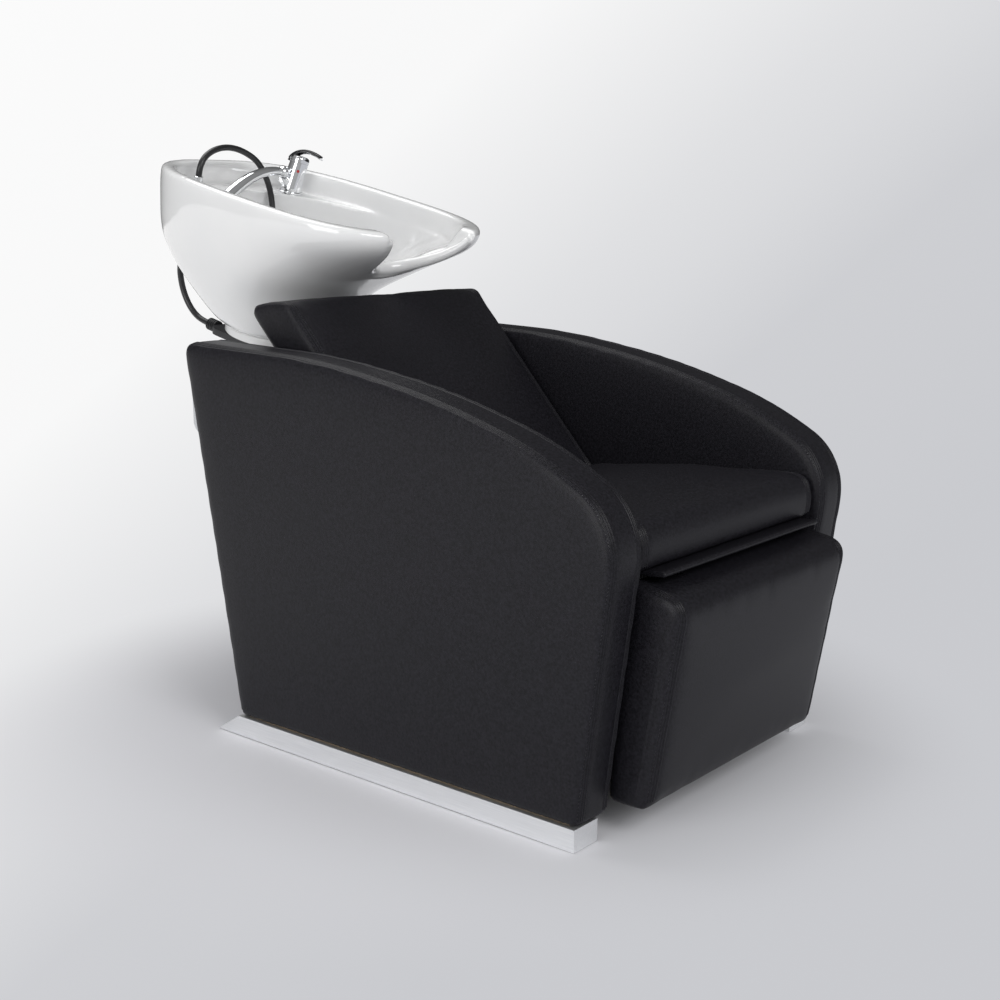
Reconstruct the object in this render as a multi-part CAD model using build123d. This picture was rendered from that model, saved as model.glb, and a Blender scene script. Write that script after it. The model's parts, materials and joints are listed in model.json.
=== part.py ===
from build123d import *
import math
import os

# Salon backwash unit: an armchair with a swing-up legrest and a tilting ceramic basin behind it.
# X runs across the chair, the sitter faces -Y and Z is up.
# While the pieces are made, Y starts at the front foot of the side panels.
# At the end everything moves together, so that the origin lies under the middle of the unit.

# Fits and cuts shared by all pieces
seat_gap = 0.3
running_gap = 0.05
snug_gap = 0.02
overrun = 60

# Side panels that form the arms
overall_width = 700
panel_width = 90
panel_height = 696
panel_length = 934
panel_front_y = -77
panel_foot_front = -11
panel_foot_rear = 737
panel_edge_radius = 8
panel_corner_radius = 22
panel_padding = 18
panel_side_padding = 12
# Corners of the crown before rounding: shares of the panel's length and height, and the
# rounding as a share of the length
panel_crown_share = (
    (0.0, 0.7275, 0.128), (0.169, 0.852, 0.758), (0.384, 0.935, 1.62), (0.646, 0.988, 1.62),
)

# Foot rails, glides and rail screws
rail_width = 58
rail_height = 37
rail_lift = 1.5
rail_wall = 3
rail_rear_reach = 55
glide_radius = 16
glide_thickness = 6
glide_stem_radius = 6
glide_inset = 50
rail_screw_count = 3
rail_screw_radius = 3
rail_screw_head_radius = 6
rail_screw_head = 4
rail_screw_length = 40

# Seat
seat_front_y = -60
seat_base_z = 412
seat_slope = 4.8
seat_side_gap = 4
seat_half_width = overall_width / 2 - panel_width - seat_side_gap
seat_depth = 452
seat_height = 78
seat_crown = 12
seat_front_radius = 26
seat_edge_radius = 10
seat_lean = 6
flap_thickness = 9
flap_reach = 20
flap_inset = 26
flap_half_width = seat_half_width - flap_inset
flap_radius = 4
seat_board_thickness = 15
seat_board_front = 120
seat_board_inset = 11
seat_board_half_width = seat_half_width - seat_board_inset

# Backrest
back_seat_offset = 5
back_base_y = seat_front_y + seat_depth + back_seat_offset
back_base_z = 442
back_angle = 48.1
back_side_gap = 6
back_half_width = overall_width / 2 - panel_width - back_side_gap
back_length = 440
back_crest_rise = 45
back_thickness = 84
back_board_thickness = 16
back_board_top = 455
back_crown = 12
back_edge_radius = 10
back_front_radius = 20
back_crest_radius = 10

# Legrest and its hinge
legrest_side_gap = 4
legrest_half_width = overall_width / 2 - panel_width - legrest_side_gap
legrest_top_z = 397
legrest_bottom_z = 48
legrest_rear_y = -20
legrest_foot_rear_y = 4
legrest_foot_front_y = -70
legrest_nose_y = -127
legrest_nose_drop = 19
legrest_front_padding = 28
legrest_top_padding = 20
legrest_side_padding = 22
legrest_foot_padding = 14
legrest_nose_radius = 30
legrest_rear_radius = 14
legrest_foot_radius = 14
legrest_edge_radius = 10
legrest_crown = 8
hinge_y = -55
hinge_z = 300
hinge_pin_radius = 6
hinge_pin_length = 70
hinge_eye_radius = 14
hinge_slot_radius = 18
hinge_plate = 8
hinge_spacing = 150
hinge_slot_width = 14
hinge_arm_height = 24
washer_thickness = 2
washer_radius = 12

# Cross tubes between the panels, and their bolts
tube_size = 30
tube_wall = 2.5
end_plate = 4
end_plate_length = 74
end_plate_height = 40
bolt_radius = 4
bolt_head_radius = 6.5
bolt_head = 5
bolt_length = 44
bolt_spacing = 48
hinge_tube_y = 72
seat_tube_stations = (165, 405)
back_tube_stations = (100, 330)
board_screw_radius = 2.5
board_screw_head_radius = 5
board_screw_head = 3
board_screw_spacing = 300

# Basin support behind the seat
support_tube_size = 50
support_tube_y = 800
support_tube_top = 621.7
post_size = 40
post_plate_length = 200
post_plate_width = 140
post_plate_thickness = 8
floor_bolt_x = 160
floor_bolt_y = 100
floor_bolt_radius = 5.5
post_plate_radius = 12
fork_bar_inner = 50
fork_bar_thickness = 8
fork_bar_height = 40
fork_eye_radius = 20

# Rear cover
cover_side_gap = 10
cover_half_width = overall_width / 2 - panel_width - cover_side_gap
cover_front_y = 790
cover_rear_y = 960
cover_bottom_z = 510
cover_wall = 3
cover_corner_radius = 25
cover_screw_radius = 2.5
cover_screw_head_radius = 5
cover_screw_head = 2.5
cover_screw_spacing = 360

# Basin, in its own level frame with the rim at zero height
rim_y = 900
rim_z = 954.2
basin_tilt = 12.8
basin_half_width = 226
basin_front = 347
basin_rear = 287
basin_depth = 279
basin_rim_radius = 9
basin_wall = 14
deck_depth = 44
foot_ring_radius = 106
foot_ring_centre = 30
notch_radius = 110
notch_front_reach = 90
notch_rear = 120
drain_radius = 24
foot_recess_radius = 82
foot_recess_depth = 33
service_half_width = 115
service_top = 118
service_bottom = 200
service_corner_radius = 20
section_points = 36
# Level, half width, middle, front and rear as shares of depth, half width, front and rear,
# then how square the front and rear halves are
hull_share = (
    (0.0, 0.968, -0.21, 1.0, 1.0, 3.0, 3.1),
    (0.161, 0.966, -0.19, 0.94, 0.99, 2.9, 3.1),
    (0.323, 0.935, -0.12, 0.735, 0.9465, 2.6, 3.3),
    (0.459, 0.894, -0.05, 0.565, 0.902, 2.4, 3.4),
    (0.609, 0.823, 0.03, 0.40, 0.82, 2.2, 3.2),
    (0.839, 0.655, 0.09, 0.29, 0.655, 2.1, 2.6),
    (1.0, 0.469, 0.105, 0.219, 0.474, 2.0, 2.0),
)
bowl_share = (
    (0.158, 0.854, -0.14, 0.836, 0.70, 2.8, 1.8),
    (0.394, 0.805, -0.10, 0.545, 0.62, 2.4, 1.9),
    (0.609, 0.673, -0.035, 0.34, 0.43, 2.1, 2.0),
    (0.760, 0.420, 0.06, 0.15, 0.30, 2.0, 2.0),
    (0.817, 0.177, 0.105, 0.029, 0.244, 2.0, 2.0),
)
tray_share = (
    (-0.02, 0.868, -0.21, 0.925, 0.915, 3.0, 3.1),
    (0.158, 0.856, -0.21, 0.838, 0.905, 2.9, 3.1),
)
# The open space under the deck, in the same order, and where it ends towards the bowl
service_share = (
    (0.208, 0.86, 0.0, 0.40, 0.89, 3.0, 3.1),
    (0.459, 0.79, 0.0, 0.30, 0.81, 2.8, 3.1),
    (0.735, 0.60, 0.0, 0.20, 0.62, 2.4, 2.8),
)
service_front = 118

# Collar ring, tilt plate, pivots and lock
collar_height = 17
collar_inner_radius = 86
tilt_plate_size = 200
tilt_plate_thickness = 12
tilt_plate_radius = 30
tilt_plate_hole = 44
lug_inner = 38
lug_thickness = 8
lug_radius = 20
pivot_drop = 341
pivot_radius = 8
pivot_inner_reach = 34
pivot_head = 4
pivot_head_radius = 12
pivot_washer_radius = 16
lock_stud_radius = 4
lock_stud_length = 14
lock_hub_radius = 13
lock_hub_length = 14
lock_arm_length = 75
lock_arm_radius = 5
lock_grip_radius = 9
lock_grip_length = 40
plate_screw_spacing = 184
plate_screw_radius = 3
plate_screw_head_radius = 6
plate_screw_head = 3
plate_screw_length = 26

# Waste
waste_flange_radius = 34
waste_flange_height = 3
waste_body_radius = 22
waste_bore_radius = 19
waste_body_length = 70
waste_nut_radius = 34
waste_nut_height = 12
strainer_radius = 18
strainer_height = 8
strainer_wall = 1.5
strainer_hole_radius = 2
strainer_hole_ring = 10
strainer_hole_count = 8
strainer_knob_radius = 4
strainer_knob_height = 8
tail_radius = 20
tail_bore_radius = 18
tail_length = 150
tail_bead_radius = 22
tail_bead_length = 4
tail_free_length = 60
tail_nut_radius = 28
tail_nut_height = 22

# Mixer tap
mixer_x = 122
mixer_v = 178
mixer_lean = 14
mixer_ring_radius = 25
mixer_ring_height = 5
mixer_foot_radius = 21
mixer_top_radius = 18.5
mixer_height = 58
mixer_shank_radius = 14
mixer_shank_length = 34
mixer_nut_radius = 21
mixer_nut_height = 8
cartridge_radius = 13
cartridge_depth = 24
cartridge_stem_radius = 5
cartridge_stem_height = 8
lever_cap_radius = 19
lever_cap_height = 14
lever_length = 60
lever_half_width = 9
lever_taper_share = 1 / 3
lever_stations = 9
lever_bore_gap = 1.6
lever_thickness = 7
# Reach from the stem and height over the cap of the lever's top line, from its rear end to its tip,
# as shares of its length and of the cap's height
lever_line_share = ((-0.47, -1.0), (-0.38, -0.2), (-0.13, 0.57), (0.33, 1.0), (1.0, 0.64))
inlay_thickness = 3
inlay_width_share = 0.9
inlay_ends_share = (0.05, 0.95)
branch_radius = 10
ball_x = 98
ball_v = 180
ball_height = 42
ball_radius = 12.5
marker_radius = 3
marker_turn = 35
marker_height_share = 0.7
marker_thickness = 1.5
inlet_radius = 5
inlet_bore_radius = 3.5
inlet_length = 50
inlet_spacing = 14
inlet_nut_radius = 6.5
inlet_nut_height = 14

# Hose guide, spray hose, hand spray and hose collar
guide_x = -100
guide_v = 199
guide_radius = 8.5
guide_height = 27
guide_flange_radius = 11
guide_flange_height = 4
guide_shank_length = 24
guide_nut_radius = 14
guide_nut_height = 7
hose_radius = 6
spout_reach = 148
spout_drop = 46
spout_rise = 7
spout_side = 14
spout_root_radius = 7.5
spout_mouth_radius = 13
spout_stations = 8
spout_drop_power = 1.7
aerator_wall = 1.5
aerator_depth = 6
collar_clamp_x = -70
collar_clamp_radius = 11
collar_clamp_length = 26
collar_clamp_ribs = 5
collar_rib_height = 1.5
spray_handle_radius = 11
spray_handle_taper_share = 0.8
spray_handle_length = 80
spray_head_radius = 24
spray_head_height = 22
spray_nut_radius = 9
spray_nut_length = 16
spray_tail_x = 30
spray_tail_v = 8
spray_tail_drop = 202
spray_turn = -5
spray_pitch = 22
rose_radius = 19
rose_height = 3
rose_hole_radius = 1.2
rose_hole_share = ((0.0, 1), (0.37, 6), (0.71, 12))

# Share of the shorter run that each arc of the hose takes up
hose_arc_share = 0.45

# Routes of the hose, in the finished part's own frame
upper_hose_route = (
    (-100, 566.18, 981.75), (-100, 563.1, 995.4), (-93, 561, 1012), (-79, 562, 1024), (-59, 563, 1033),
    (-33, 564, 1038), (-5, 565, 1036), (21, 566, 1028), (46, 566, 1015), (61, 565, 996),
    (67, 558, 974), (64, 547, 954), (60, 538, 932), (56, 532, 908), (52, 529, 884),
    (48, 524, 860), (44, 518, 836), (41, 510, 812), (39, 501, 788), (36, 486, 771),
    (34, 466, 759), (31.9, 444, 755.2), (30, 420.95, 759),
)
lower_hose_route = (
    (-100, 577.5, 931.95), (-100, 582.8, 908.6), (-100, 593, 885), (-99, 607, 863), (-96, 624, 843),
    (-93, 640, 822), (-89, 651, 802), (-84, 656, 781), (-79, 656, 757), (-75, 648, 733),
    (-72, 633, 713), (-70, 611.8, 699.8), (-70, 587.45, 694.3),
)

# Values worked out from the ones above
panel_inner_x = overall_width / 2 - panel_width
rail_x = overall_width / 2 - rail_width / 2
core_width = panel_width - 2 * panel_side_padding
tilt_cos = math.cos(math.radians(basin_tilt))
tilt_sin = math.sin(math.radians(basin_tilt))
deck_underside = deck_depth + basin_wall
bowl_depth = bowl_share[-1][0] * basin_depth
pivot_y = rim_y + foot_ring_centre * tilt_cos + pivot_drop * tilt_sin
pivot_z = rim_z + foot_ring_centre * tilt_sin - pivot_drop * tilt_cos
plate_top = -basin_depth - collar_height
support_tube_z = support_tube_top - support_tube_size / 2

# Frames that carry the tilted groups
seat_frame = Location((0, seat_front_y, seat_base_z), (-seat_slope, 0, 0))
back_frame = Location((0, back_base_y, back_base_z), (back_angle, 0, 0))
basin_frame = Location((0, rim_y, rim_z), (basin_tilt, 0, 0))
mixer_frame = basin_frame * Location(
    (mixer_x, mixer_v, mixer_ring_height - deck_depth), (0, mixer_lean, 0)
)


def across(points, radii):
    """A closed outline with rounded corners, drawn in the Y and Z plane."""
    return Plane.YZ * make_face(FilletPolyline(*points, radius=radii, close=True))


def bar(face, x_from, x_to):
    """A side outline made solid between two places across the chair."""
    return Pos(x_from, 0, 0) * extrude(face, amount=x_to - x_from, dir=(1, 0, 0))


def rod(radius, x_from, x_to, y=0, z=0):
    """A round rod across the chair."""
    length = abs(x_to - x_from)
    middle = (x_from + x_to) / 2
    return Pos(middle, y, z) * Rot(0, 90, 0) * Cylinder(radius, length)


def upright(radius, z_from, z_to, x=0, y=0):
    """A round rod that stands up."""
    return Pos(x, y, (z_from + z_to) / 2) * Cylinder(radius, z_to - z_from)


def block(x_range, y_range, z_range):
    """A box between two corners."""
    size = [high - low for low, high in (x_range, y_range, z_range)]
    centre = [(high + low) / 2 for low, high in (x_range, y_range, z_range)]
    return Pos(*centre) * Box(*size)


def both_sides(make):
    """The same piece on both sides of the chair, each as its own solid."""
    return [make(side) for side in (-1, 1)]


def group(solids):
    """Like pieces kept together as separate solids."""
    return Compound(children=[solid for item in solids for solid in item.solids()])


def crowned(outline, half_width, crown, edge_radius):
    """A cushion: side outlines lofted over a crown, then its two sides drawn in."""
    sections = [Pos(-half_width, 0, 0) * outline(0)]
    sections.append(outline(crown))
    sections.append(Pos(half_width, 0, 0) * outline(0))
    body = loft(sections)
    sides = [body.faces().sort_by(Axis.X)[0], body.faces().sort_by(Axis.X)[-1]]
    edges = [edge for side in sides for edge in side.edges()]
    return fillet(edges, edge_radius)


# Side panels and foot rails

def panel_face():
    """The side outline of an arm panel."""
    points = [(panel_foot_front, rail_height)]
    radii = [0]
    for along, up, rounding in panel_crown_share:
        points.append((panel_front_y + along * panel_length, up * panel_height))
        radii.append(rounding * panel_length)
    points.append((panel_front_y + panel_length, panel_height))
    radii.append(panel_corner_radius)
    points.append((panel_foot_rear, rail_height))
    radii.append(0)
    return make_face(FilletPolyline(*points, radius=radii, close=True))


def core_face():
    """The outline of the wooden core, which reaches down to the foot rail."""
    inner = offset(panel_face(), amount=-panel_padding)
    front = panel_foot_front + panel_padding
    rear = panel_foot_rear - panel_padding
    strip_height = panel_padding + panel_edge_radius
    strip = Pos((front + rear) / 2, rail_height + strip_height / 2) * Rectangle(rear - front, strip_height)
    return inner + strip


def cross_bolt_places():
    """Y, Z and angle of each cross tube's end bolts."""
    places = []
    for y, z, angle in [place for group_places in tube_places().values() for place in group_places]:
        lean = math.radians(angle)
        for way in (-1, 1):
            reach = way * bolt_spacing / 2
            places.append((y + reach * math.cos(lean), z + reach * math.sin(lean)))
    for way in (-1, 1):
        places.append((support_tube_y, support_tube_z + way * support_bolt_reach()))
    return places


def support_bolt_reach():
    """How far the support tube's end bolts lie above and below its middle."""
    return support_tube_size / 2 + bolt_head_radius + tube_wall


def in_frame(frame, y, z):
    """Y and Z of a point given in a tilted frame."""
    place = (frame * Location((0, y, z))).position
    return place.Y, place.Z


def tube_places():
    """Y, Z and lean of the thin cross tubes."""
    under_board = -flap_thickness - seat_board_thickness - tube_size / 2
    behind_board = -back_thickness - seat_gap - tube_size / 2
    seat = [(*in_frame(seat_frame, station, under_board), -seat_slope) for station in seat_tube_stations]
    back = [(*in_frame(back_frame, station, behind_board), back_angle) for station in back_tube_stations]
    return {"seat_tubes": seat, "back_tubes": back, "hinge_tube": [(hinge_tube_y, hinge_z, 0)]}


def panel_holes(radius):
    """Bolt holes through the inner side of a panel, for both sides."""
    reach = panel_inner_x + bolt_length - end_plate
    holes = []
    for y, z in cross_bolt_places():
        for side in (-1, 1):
            holes.append(rod(radius, side * (panel_inner_x - end_plate), side * reach, y, z))
    return holes


def arm_cover(side):
    """Foam and leather skin of one arm, open underneath."""
    start = side * panel_inner_x
    finish = side * (panel_inner_x + panel_width)
    low, high = min(start, finish), max(start, finish)
    body = bar(Plane.YZ * panel_face(), low, high)
    flat = [face for face in body.faces() if abs(abs(face.normal_at().X) - 1) < snug_gap]
    edges = [edge for face in flat for edge in face.edges() if edge.center().Z > rail_height + seat_gap]
    body = fillet(edges, panel_edge_radius)
    inside = bar(Plane.YZ * core_face(), low + panel_side_padding, high - panel_side_padding)
    return body - inside - panel_holes(bolt_radius + seat_gap)


def arm_core(side):
    """Wooden core of one arm."""
    middle = side * (panel_inner_x + panel_width / 2)
    half = core_width / 2 - seat_gap
    face = offset(core_face(), amount=-seat_gap)
    core = bar(Plane.YZ * face, middle - half, middle + half)
    holes = [upright(rail_screw_radius + snug_gap, 0, rail_height + rail_screw_length, side * rail_x, y)
             for y in rail_screw_places()]
    return core - panel_holes(bolt_radius + snug_gap) - holes


def foot_rail(side):
    """Stainless rail under one arm: a channel with a sloping rear end."""
    low = overall_width / 2 - rail_width
    points = (
        (panel_foot_front, rail_lift), (panel_foot_front, rail_height),
        (panel_foot_rear, rail_height), (panel_foot_rear + rail_rear_reach, rail_lift),
    )
    outer = across(points, (0, 0, 0, 0))
    body = bar(outer, min(side * low, side * overall_width / 2), max(side * low, side * overall_width / 2))
    middle = side * rail_x
    half = rail_width / 2 - rail_wall
    pocket = block((middle - half, middle + half), (panel_foot_front + rail_wall, panel_foot_rear - rail_wall),
                   (-overrun, rail_height - rail_wall))
    holes = [upright(rail_screw_radius + seat_gap, rail_lift, rail_height + rail_wall, middle, y)
             for y in rail_screw_places()]
    return body - pocket - holes


def rail_screw_places():
    """Places along a foot rail of the screws into the arm core."""
    first = panel_foot_front + 2 * glide_inset
    last = panel_foot_rear - 2 * glide_inset
    step = (last - first) / (rail_screw_count - 1)
    return [first + step * index for index in range(rail_screw_count)]


def rail_screws():
    """Screws that hold the foot rails to the arm cores."""
    top = rail_height - rail_wall
    solids = []
    for side in (-1, 1):
        for y in rail_screw_places():
            head = upright(rail_screw_head_radius, top - rail_screw_head, top, side * rail_x, y)
            shank = upright(rail_screw_radius, top - rail_screw_head, top + rail_screw_length, side * rail_x, y)
            solids.append(head + shank)
    return group(solids)


def floor_glides():
    """Four round glides that carry the rails just clear of the floor."""
    solids = []
    for side in (-1, 1):
        for y in (panel_foot_front + glide_inset, panel_foot_rear - glide_inset):
            foot = upright(glide_radius, 0, glide_thickness, side * rail_x, y)
            stem = upright(glide_stem_radius, 0, rail_height - rail_wall, side * rail_x, y)
            solids.append(foot + stem)
    return group(solids)


# Cross tubes

def end_plates(y, z, angle, length, height):
    """Flat plates on both ends of a cross tube."""
    plates = []
    for side in (-1, 1):
        middle = side * (panel_inner_x - end_plate / 2)
        plates.append(Location((middle, y, z), (angle, 0, 0)) * Box(end_plate, length, height))
    return plates


def square_tube(y, z, angle, size):
    """A square tube that spans between the end plates."""
    span = 2 * (panel_inner_x - end_plate)
    place = Location((0, y, z), (angle, 0, 0))
    return place * (Box(span, size, size) - Box(span, size - 2 * tube_wall, size - 2 * tube_wall))


def cross_tubes(name):
    """Thin cross tubes of one kind, with their end plates and screw holes."""
    tubes = []
    for y, z, angle in tube_places()[name]:
        body = square_tube(y, z, angle, tube_size) + end_plates(y, z, angle, end_plate_length, end_plate_height)
        tubes.append(body - panel_holes(bolt_radius + seat_gap) - board_screw_rods(board_screw_radius + seat_gap))
    return group(tubes)


def cross_bolts():
    """Bolts that hold every cross tube to the arms."""
    solids = []
    for y, z in cross_bolt_places():
        for side in (-1, 1):
            face_x = side * (panel_inner_x - end_plate)
            head = rod(bolt_head_radius, face_x, face_x - side * bolt_head, y, z)
            shank = rod(bolt_radius, face_x, face_x + side * bolt_length, y, z)
            solids.append(head + shank)
    return group(solids)


def board_screw_frames():
    """Where each board screw starts, and the frame that it points along."""
    places = []
    seat_z = -flap_thickness - seat_board_thickness - tube_size
    back_z = -back_thickness - seat_gap - tube_size
    for frame, stations, start in (
        (seat_frame, seat_tube_stations, seat_z),
        (back_frame, back_tube_stations, back_z),
    ):
        for station in stations:
            for side in (-1, 1):
                places.append(frame * Location((side * board_screw_spacing / 2, station, start)))
    return places


def board_screw_rods(radius):
    """Rods along the board screws, from under the tube into the board."""
    length = tube_size + seat_board_thickness - tube_wall
    return [place * upright(radius, 0, length) for place in board_screw_frames()]


def board_screws():
    """Screws that hold the seat board and the backrest board to the tubes."""
    solids = []
    length = tube_size + seat_board_thickness - tube_wall
    for place in board_screw_frames():
        head = upright(board_screw_head_radius, -board_screw_head, 0)
        shank = upright(board_screw_radius, -board_screw_head, length)
        solids.append(place * (head + shank))
    return group(solids)


# Seat

def seat_outline(crown):
    """Side outline of the seat cushion in the seat frame."""
    points = (
        (seat_lean, 0), (0, seat_height / 2), (seat_lean, seat_height),
        (seat_depth / 2, seat_height + crown + seat_lean), (seat_depth, seat_height), (seat_depth, 0),
    )
    radii = (seat_edge_radius, seat_front_radius, seat_front_radius, seat_depth, seat_edge_radius, 0)
    return across(points, radii)


def seat_cushion():
    return seat_frame * crowned(seat_outline, seat_half_width, seat_crown, seat_edge_radius)


def seat_flap():
    """Thin base board of the seat, whose lip reaches out in front."""
    plate = block((-flap_half_width, flap_half_width), (-flap_reach, seat_depth), (-flap_thickness, 0))
    front = plate.edges().filter_by(Axis.X).sort_by(Axis.Y)[:2]
    plate = fillet(front, flap_radius)
    return seat_frame * plate


def seat_board():
    low = -flap_thickness - seat_board_thickness
    half = seat_board_half_width
    plate = block((-half, half), (seat_board_front, seat_depth), (low, -flap_thickness))
    return seat_frame * plate - board_screw_rods(board_screw_radius + snug_gap)


# Backrest

def back_outline(crown):
    """Side outline of the backrest cushion, which laps over the top of its board."""
    core = back_thickness - back_board_thickness
    crest = back_length + back_crest_rise
    points = (
        (0, 0), (back_length / 2, crown + seat_gap), (back_length, 0), (crest, -core),
        (crest - back_crest_radius, -back_thickness),
        (back_board_top + seat_gap, -back_thickness), (back_board_top + seat_gap, -core), (0, -core),
    )
    radii = (back_edge_radius, back_length, back_front_radius, back_crest_radius, back_crest_radius / 2, 0, 0, 0)
    return across(points, radii)


def backrest_cushion():
    return back_frame * crowned(back_outline, back_half_width, back_crown, back_edge_radius / 2)


def backrest_board():
    half = back_half_width - back_edge_radius
    core = back_thickness - back_board_thickness
    plate = block((-half, half), (back_edge_radius, back_board_top), (-back_thickness, -core - seat_gap))
    return back_frame * plate - board_screw_rods(board_screw_radius + snug_gap)


# Legrest

def legrest_points(front, top, foot):
    """Corner points of the legrest outline, drawn in by the given paddings."""
    return (
        (legrest_nose_y + front, legrest_top_z - legrest_nose_drop - top),
        (legrest_rear_y, legrest_top_z - top),
        (legrest_foot_rear_y, legrest_bottom_z + foot),
        (legrest_foot_front_y + front, legrest_bottom_z + foot),
    )


def legrest_outline(crown):
    """Side outline of the legrest cushion."""
    (nose_y, nose_z), rear_top, foot_rear, (foot_y, foot_z) = legrest_points(0, 0, 0)
    middle = ((nose_y + foot_y) / 2 - crown - seat_gap, (nose_z + foot_z) / 2)
    points = ((nose_y, nose_z), rear_top, foot_rear, (foot_y, foot_z), middle)
    radii = (legrest_nose_radius, legrest_rear_radius, legrest_foot_radius, legrest_foot_radius, legrest_half_width)
    return across(points, radii)


def legrest_core_face():
    points = legrest_points(legrest_front_padding, legrest_top_padding, legrest_foot_padding)
    return across(points, (legrest_edge_radius, 0, 0, legrest_edge_radius))


def hinge_slots():
    """Slots that let the hinge arms reach their pins while the legrest swings."""
    top = legrest_top_z + overrun
    low = hinge_z - hinge_slot_radius
    points = (
        (hinge_y - hinge_slot_radius, hinge_z), (hinge_y, top), (hinge_y + 2 * overrun, top),
        (hinge_y + 2 * overrun, low), (hinge_y, low),
    )
    cuts = []
    for side in (-1, 1):
        middle = side * hinge_spacing
        low_x = middle - hinge_slot_width / 2
        high_x = middle + hinge_slot_width / 2
        cuts.append(bar(across(points, (0, 0, 0, 0, 0)), low_x, high_x))
        cuts.append(rod(hinge_slot_radius, low_x, high_x, hinge_y, hinge_z))
    return cuts


def hinge_pin_rods(radius, length):
    half = length / 2
    return [rod(radius, side * hinge_spacing - half, side * hinge_spacing + half, hinge_y, hinge_z)
            for side in (-1, 1)]


def legrest_cushion():
    body = crowned(legrest_outline, legrest_half_width, legrest_crown, legrest_edge_radius)
    half = legrest_half_width - legrest_side_padding
    core = bar(legrest_core_face(), -half, half)
    return body - core - hinge_slots()


def legrest_core():
    half = legrest_half_width - legrest_side_padding - seat_gap
    core = bar(offset(legrest_core_face(), amount=-seat_gap), -half, half)
    return core - hinge_slots() - hinge_pin_rods(hinge_pin_radius + snug_gap, hinge_pin_length + seat_gap)


def hinge_pins():
    return group(hinge_pin_rods(hinge_pin_radius, hinge_pin_length))


def hinge_arm(side):
    """Steel arm from the hinge tube into the legrest."""
    middle = side * hinge_spacing
    half = hinge_plate / 2
    rear = hinge_tube_y - tube_size / 2
    arm = block((middle - half, middle + half), (hinge_y, rear),
                (hinge_z - hinge_arm_height / 2, hinge_z + hinge_arm_height / 2))
    eye = rod(hinge_eye_radius, middle - half, middle + half, hinge_y, hinge_z)
    bore = rod(hinge_pin_radius + running_gap, middle - half, middle + half, hinge_y, hinge_z)
    return arm + eye - bore


def hinge_arms():
    return group(both_sides(hinge_arm))


def friction_washers():
    """Washers on both sides of each hinge arm, which hold the legrest where it is put."""
    solids = []
    for side in (-1, 1):
        for way in (-1, 1):
            near = side * hinge_spacing + way * (hinge_plate / 2 + seat_gap)
            far = near + way * washer_thickness
            disc = rod(washer_radius, near, far, hinge_y, hinge_z)
            solids.append(disc - rod(hinge_pin_radius + snug_gap, near, far, hinge_y, hinge_z))
    return group(solids)


# Basin support

def support_tube():
    """Cross tube that carries the basin, with tall end plates."""
    plate_height = 2 * (support_bolt_reach() + bolt_head_radius + tube_wall)
    body = square_tube(support_tube_y, support_tube_z, 0, support_tube_size)
    body += end_plates(support_tube_y, support_tube_z, 0, end_plate_height, plate_height)
    body -= panel_holes(bolt_radius + seat_gap)
    return body - cover_screw_rods(cover_screw_radius + snug_gap)


def support_post():
    """Steel post under the support tube."""
    half = post_size / 2
    low, high = post_plate_thickness, support_tube_z - support_tube_size / 2
    outer = block((-half, half), (support_tube_y - half, support_tube_y + half), (low, high))
    inner_half = half - tube_wall
    inner = block((-inner_half, inner_half), (support_tube_y - inner_half, support_tube_y + inner_half), (low, high))
    return outer - inner


def floor_plate():
    """Plate under the post, with four holes for floor bolts."""
    plate = extrude(RectangleRounded(post_plate_length, post_plate_width, post_plate_radius), post_plate_thickness)
    plate = Pos(0, support_tube_y, 0) * plate
    for x in (-floor_bolt_x / 2, floor_bolt_x / 2):
        for y in (-floor_bolt_y / 2, floor_bolt_y / 2):
            plate -= upright(floor_bolt_radius, -overrun, overrun, x, support_tube_y + y)
    return plate


def fork_bar(side):
    """One bar of the fork that holds the basin's tilt pivot."""
    near = side * fork_bar_inner
    far = side * (fork_bar_inner + fork_bar_thickness)
    low_x, high_x = min(near, far), max(near, far)
    front = support_tube_y + support_tube_size / 2
    low = support_tube_z - fork_bar_height / 2
    high = support_tube_z + fork_bar_height / 2
    points = (
        (front, low), (front, high), (pivot_y - 2 * fork_eye_radius, high),
        (pivot_y - fork_eye_radius, pivot_z), (pivot_y, pivot_z), (pivot_y, low),
    )
    body = bar(across(points, (0, 0, 0, 0, 0, 0)), low_x, high_x)
    body += rod(fork_eye_radius, low_x, high_x, pivot_y, pivot_z)
    return body - rod(pivot_radius + running_gap, low_x, high_x, pivot_y, pivot_z)


def tilt_fork():
    return group(both_sides(fork_bar))


def cover_screw_rods(radius):
    """Rods along the screws on top of the rear cover."""
    low = support_tube_top - 2 * tube_wall
    high = support_tube_top + seat_gap + cover_wall
    return [upright(radius, low, high, side * cover_screw_spacing / 2, support_tube_y) for side in (-1, 1)]


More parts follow.
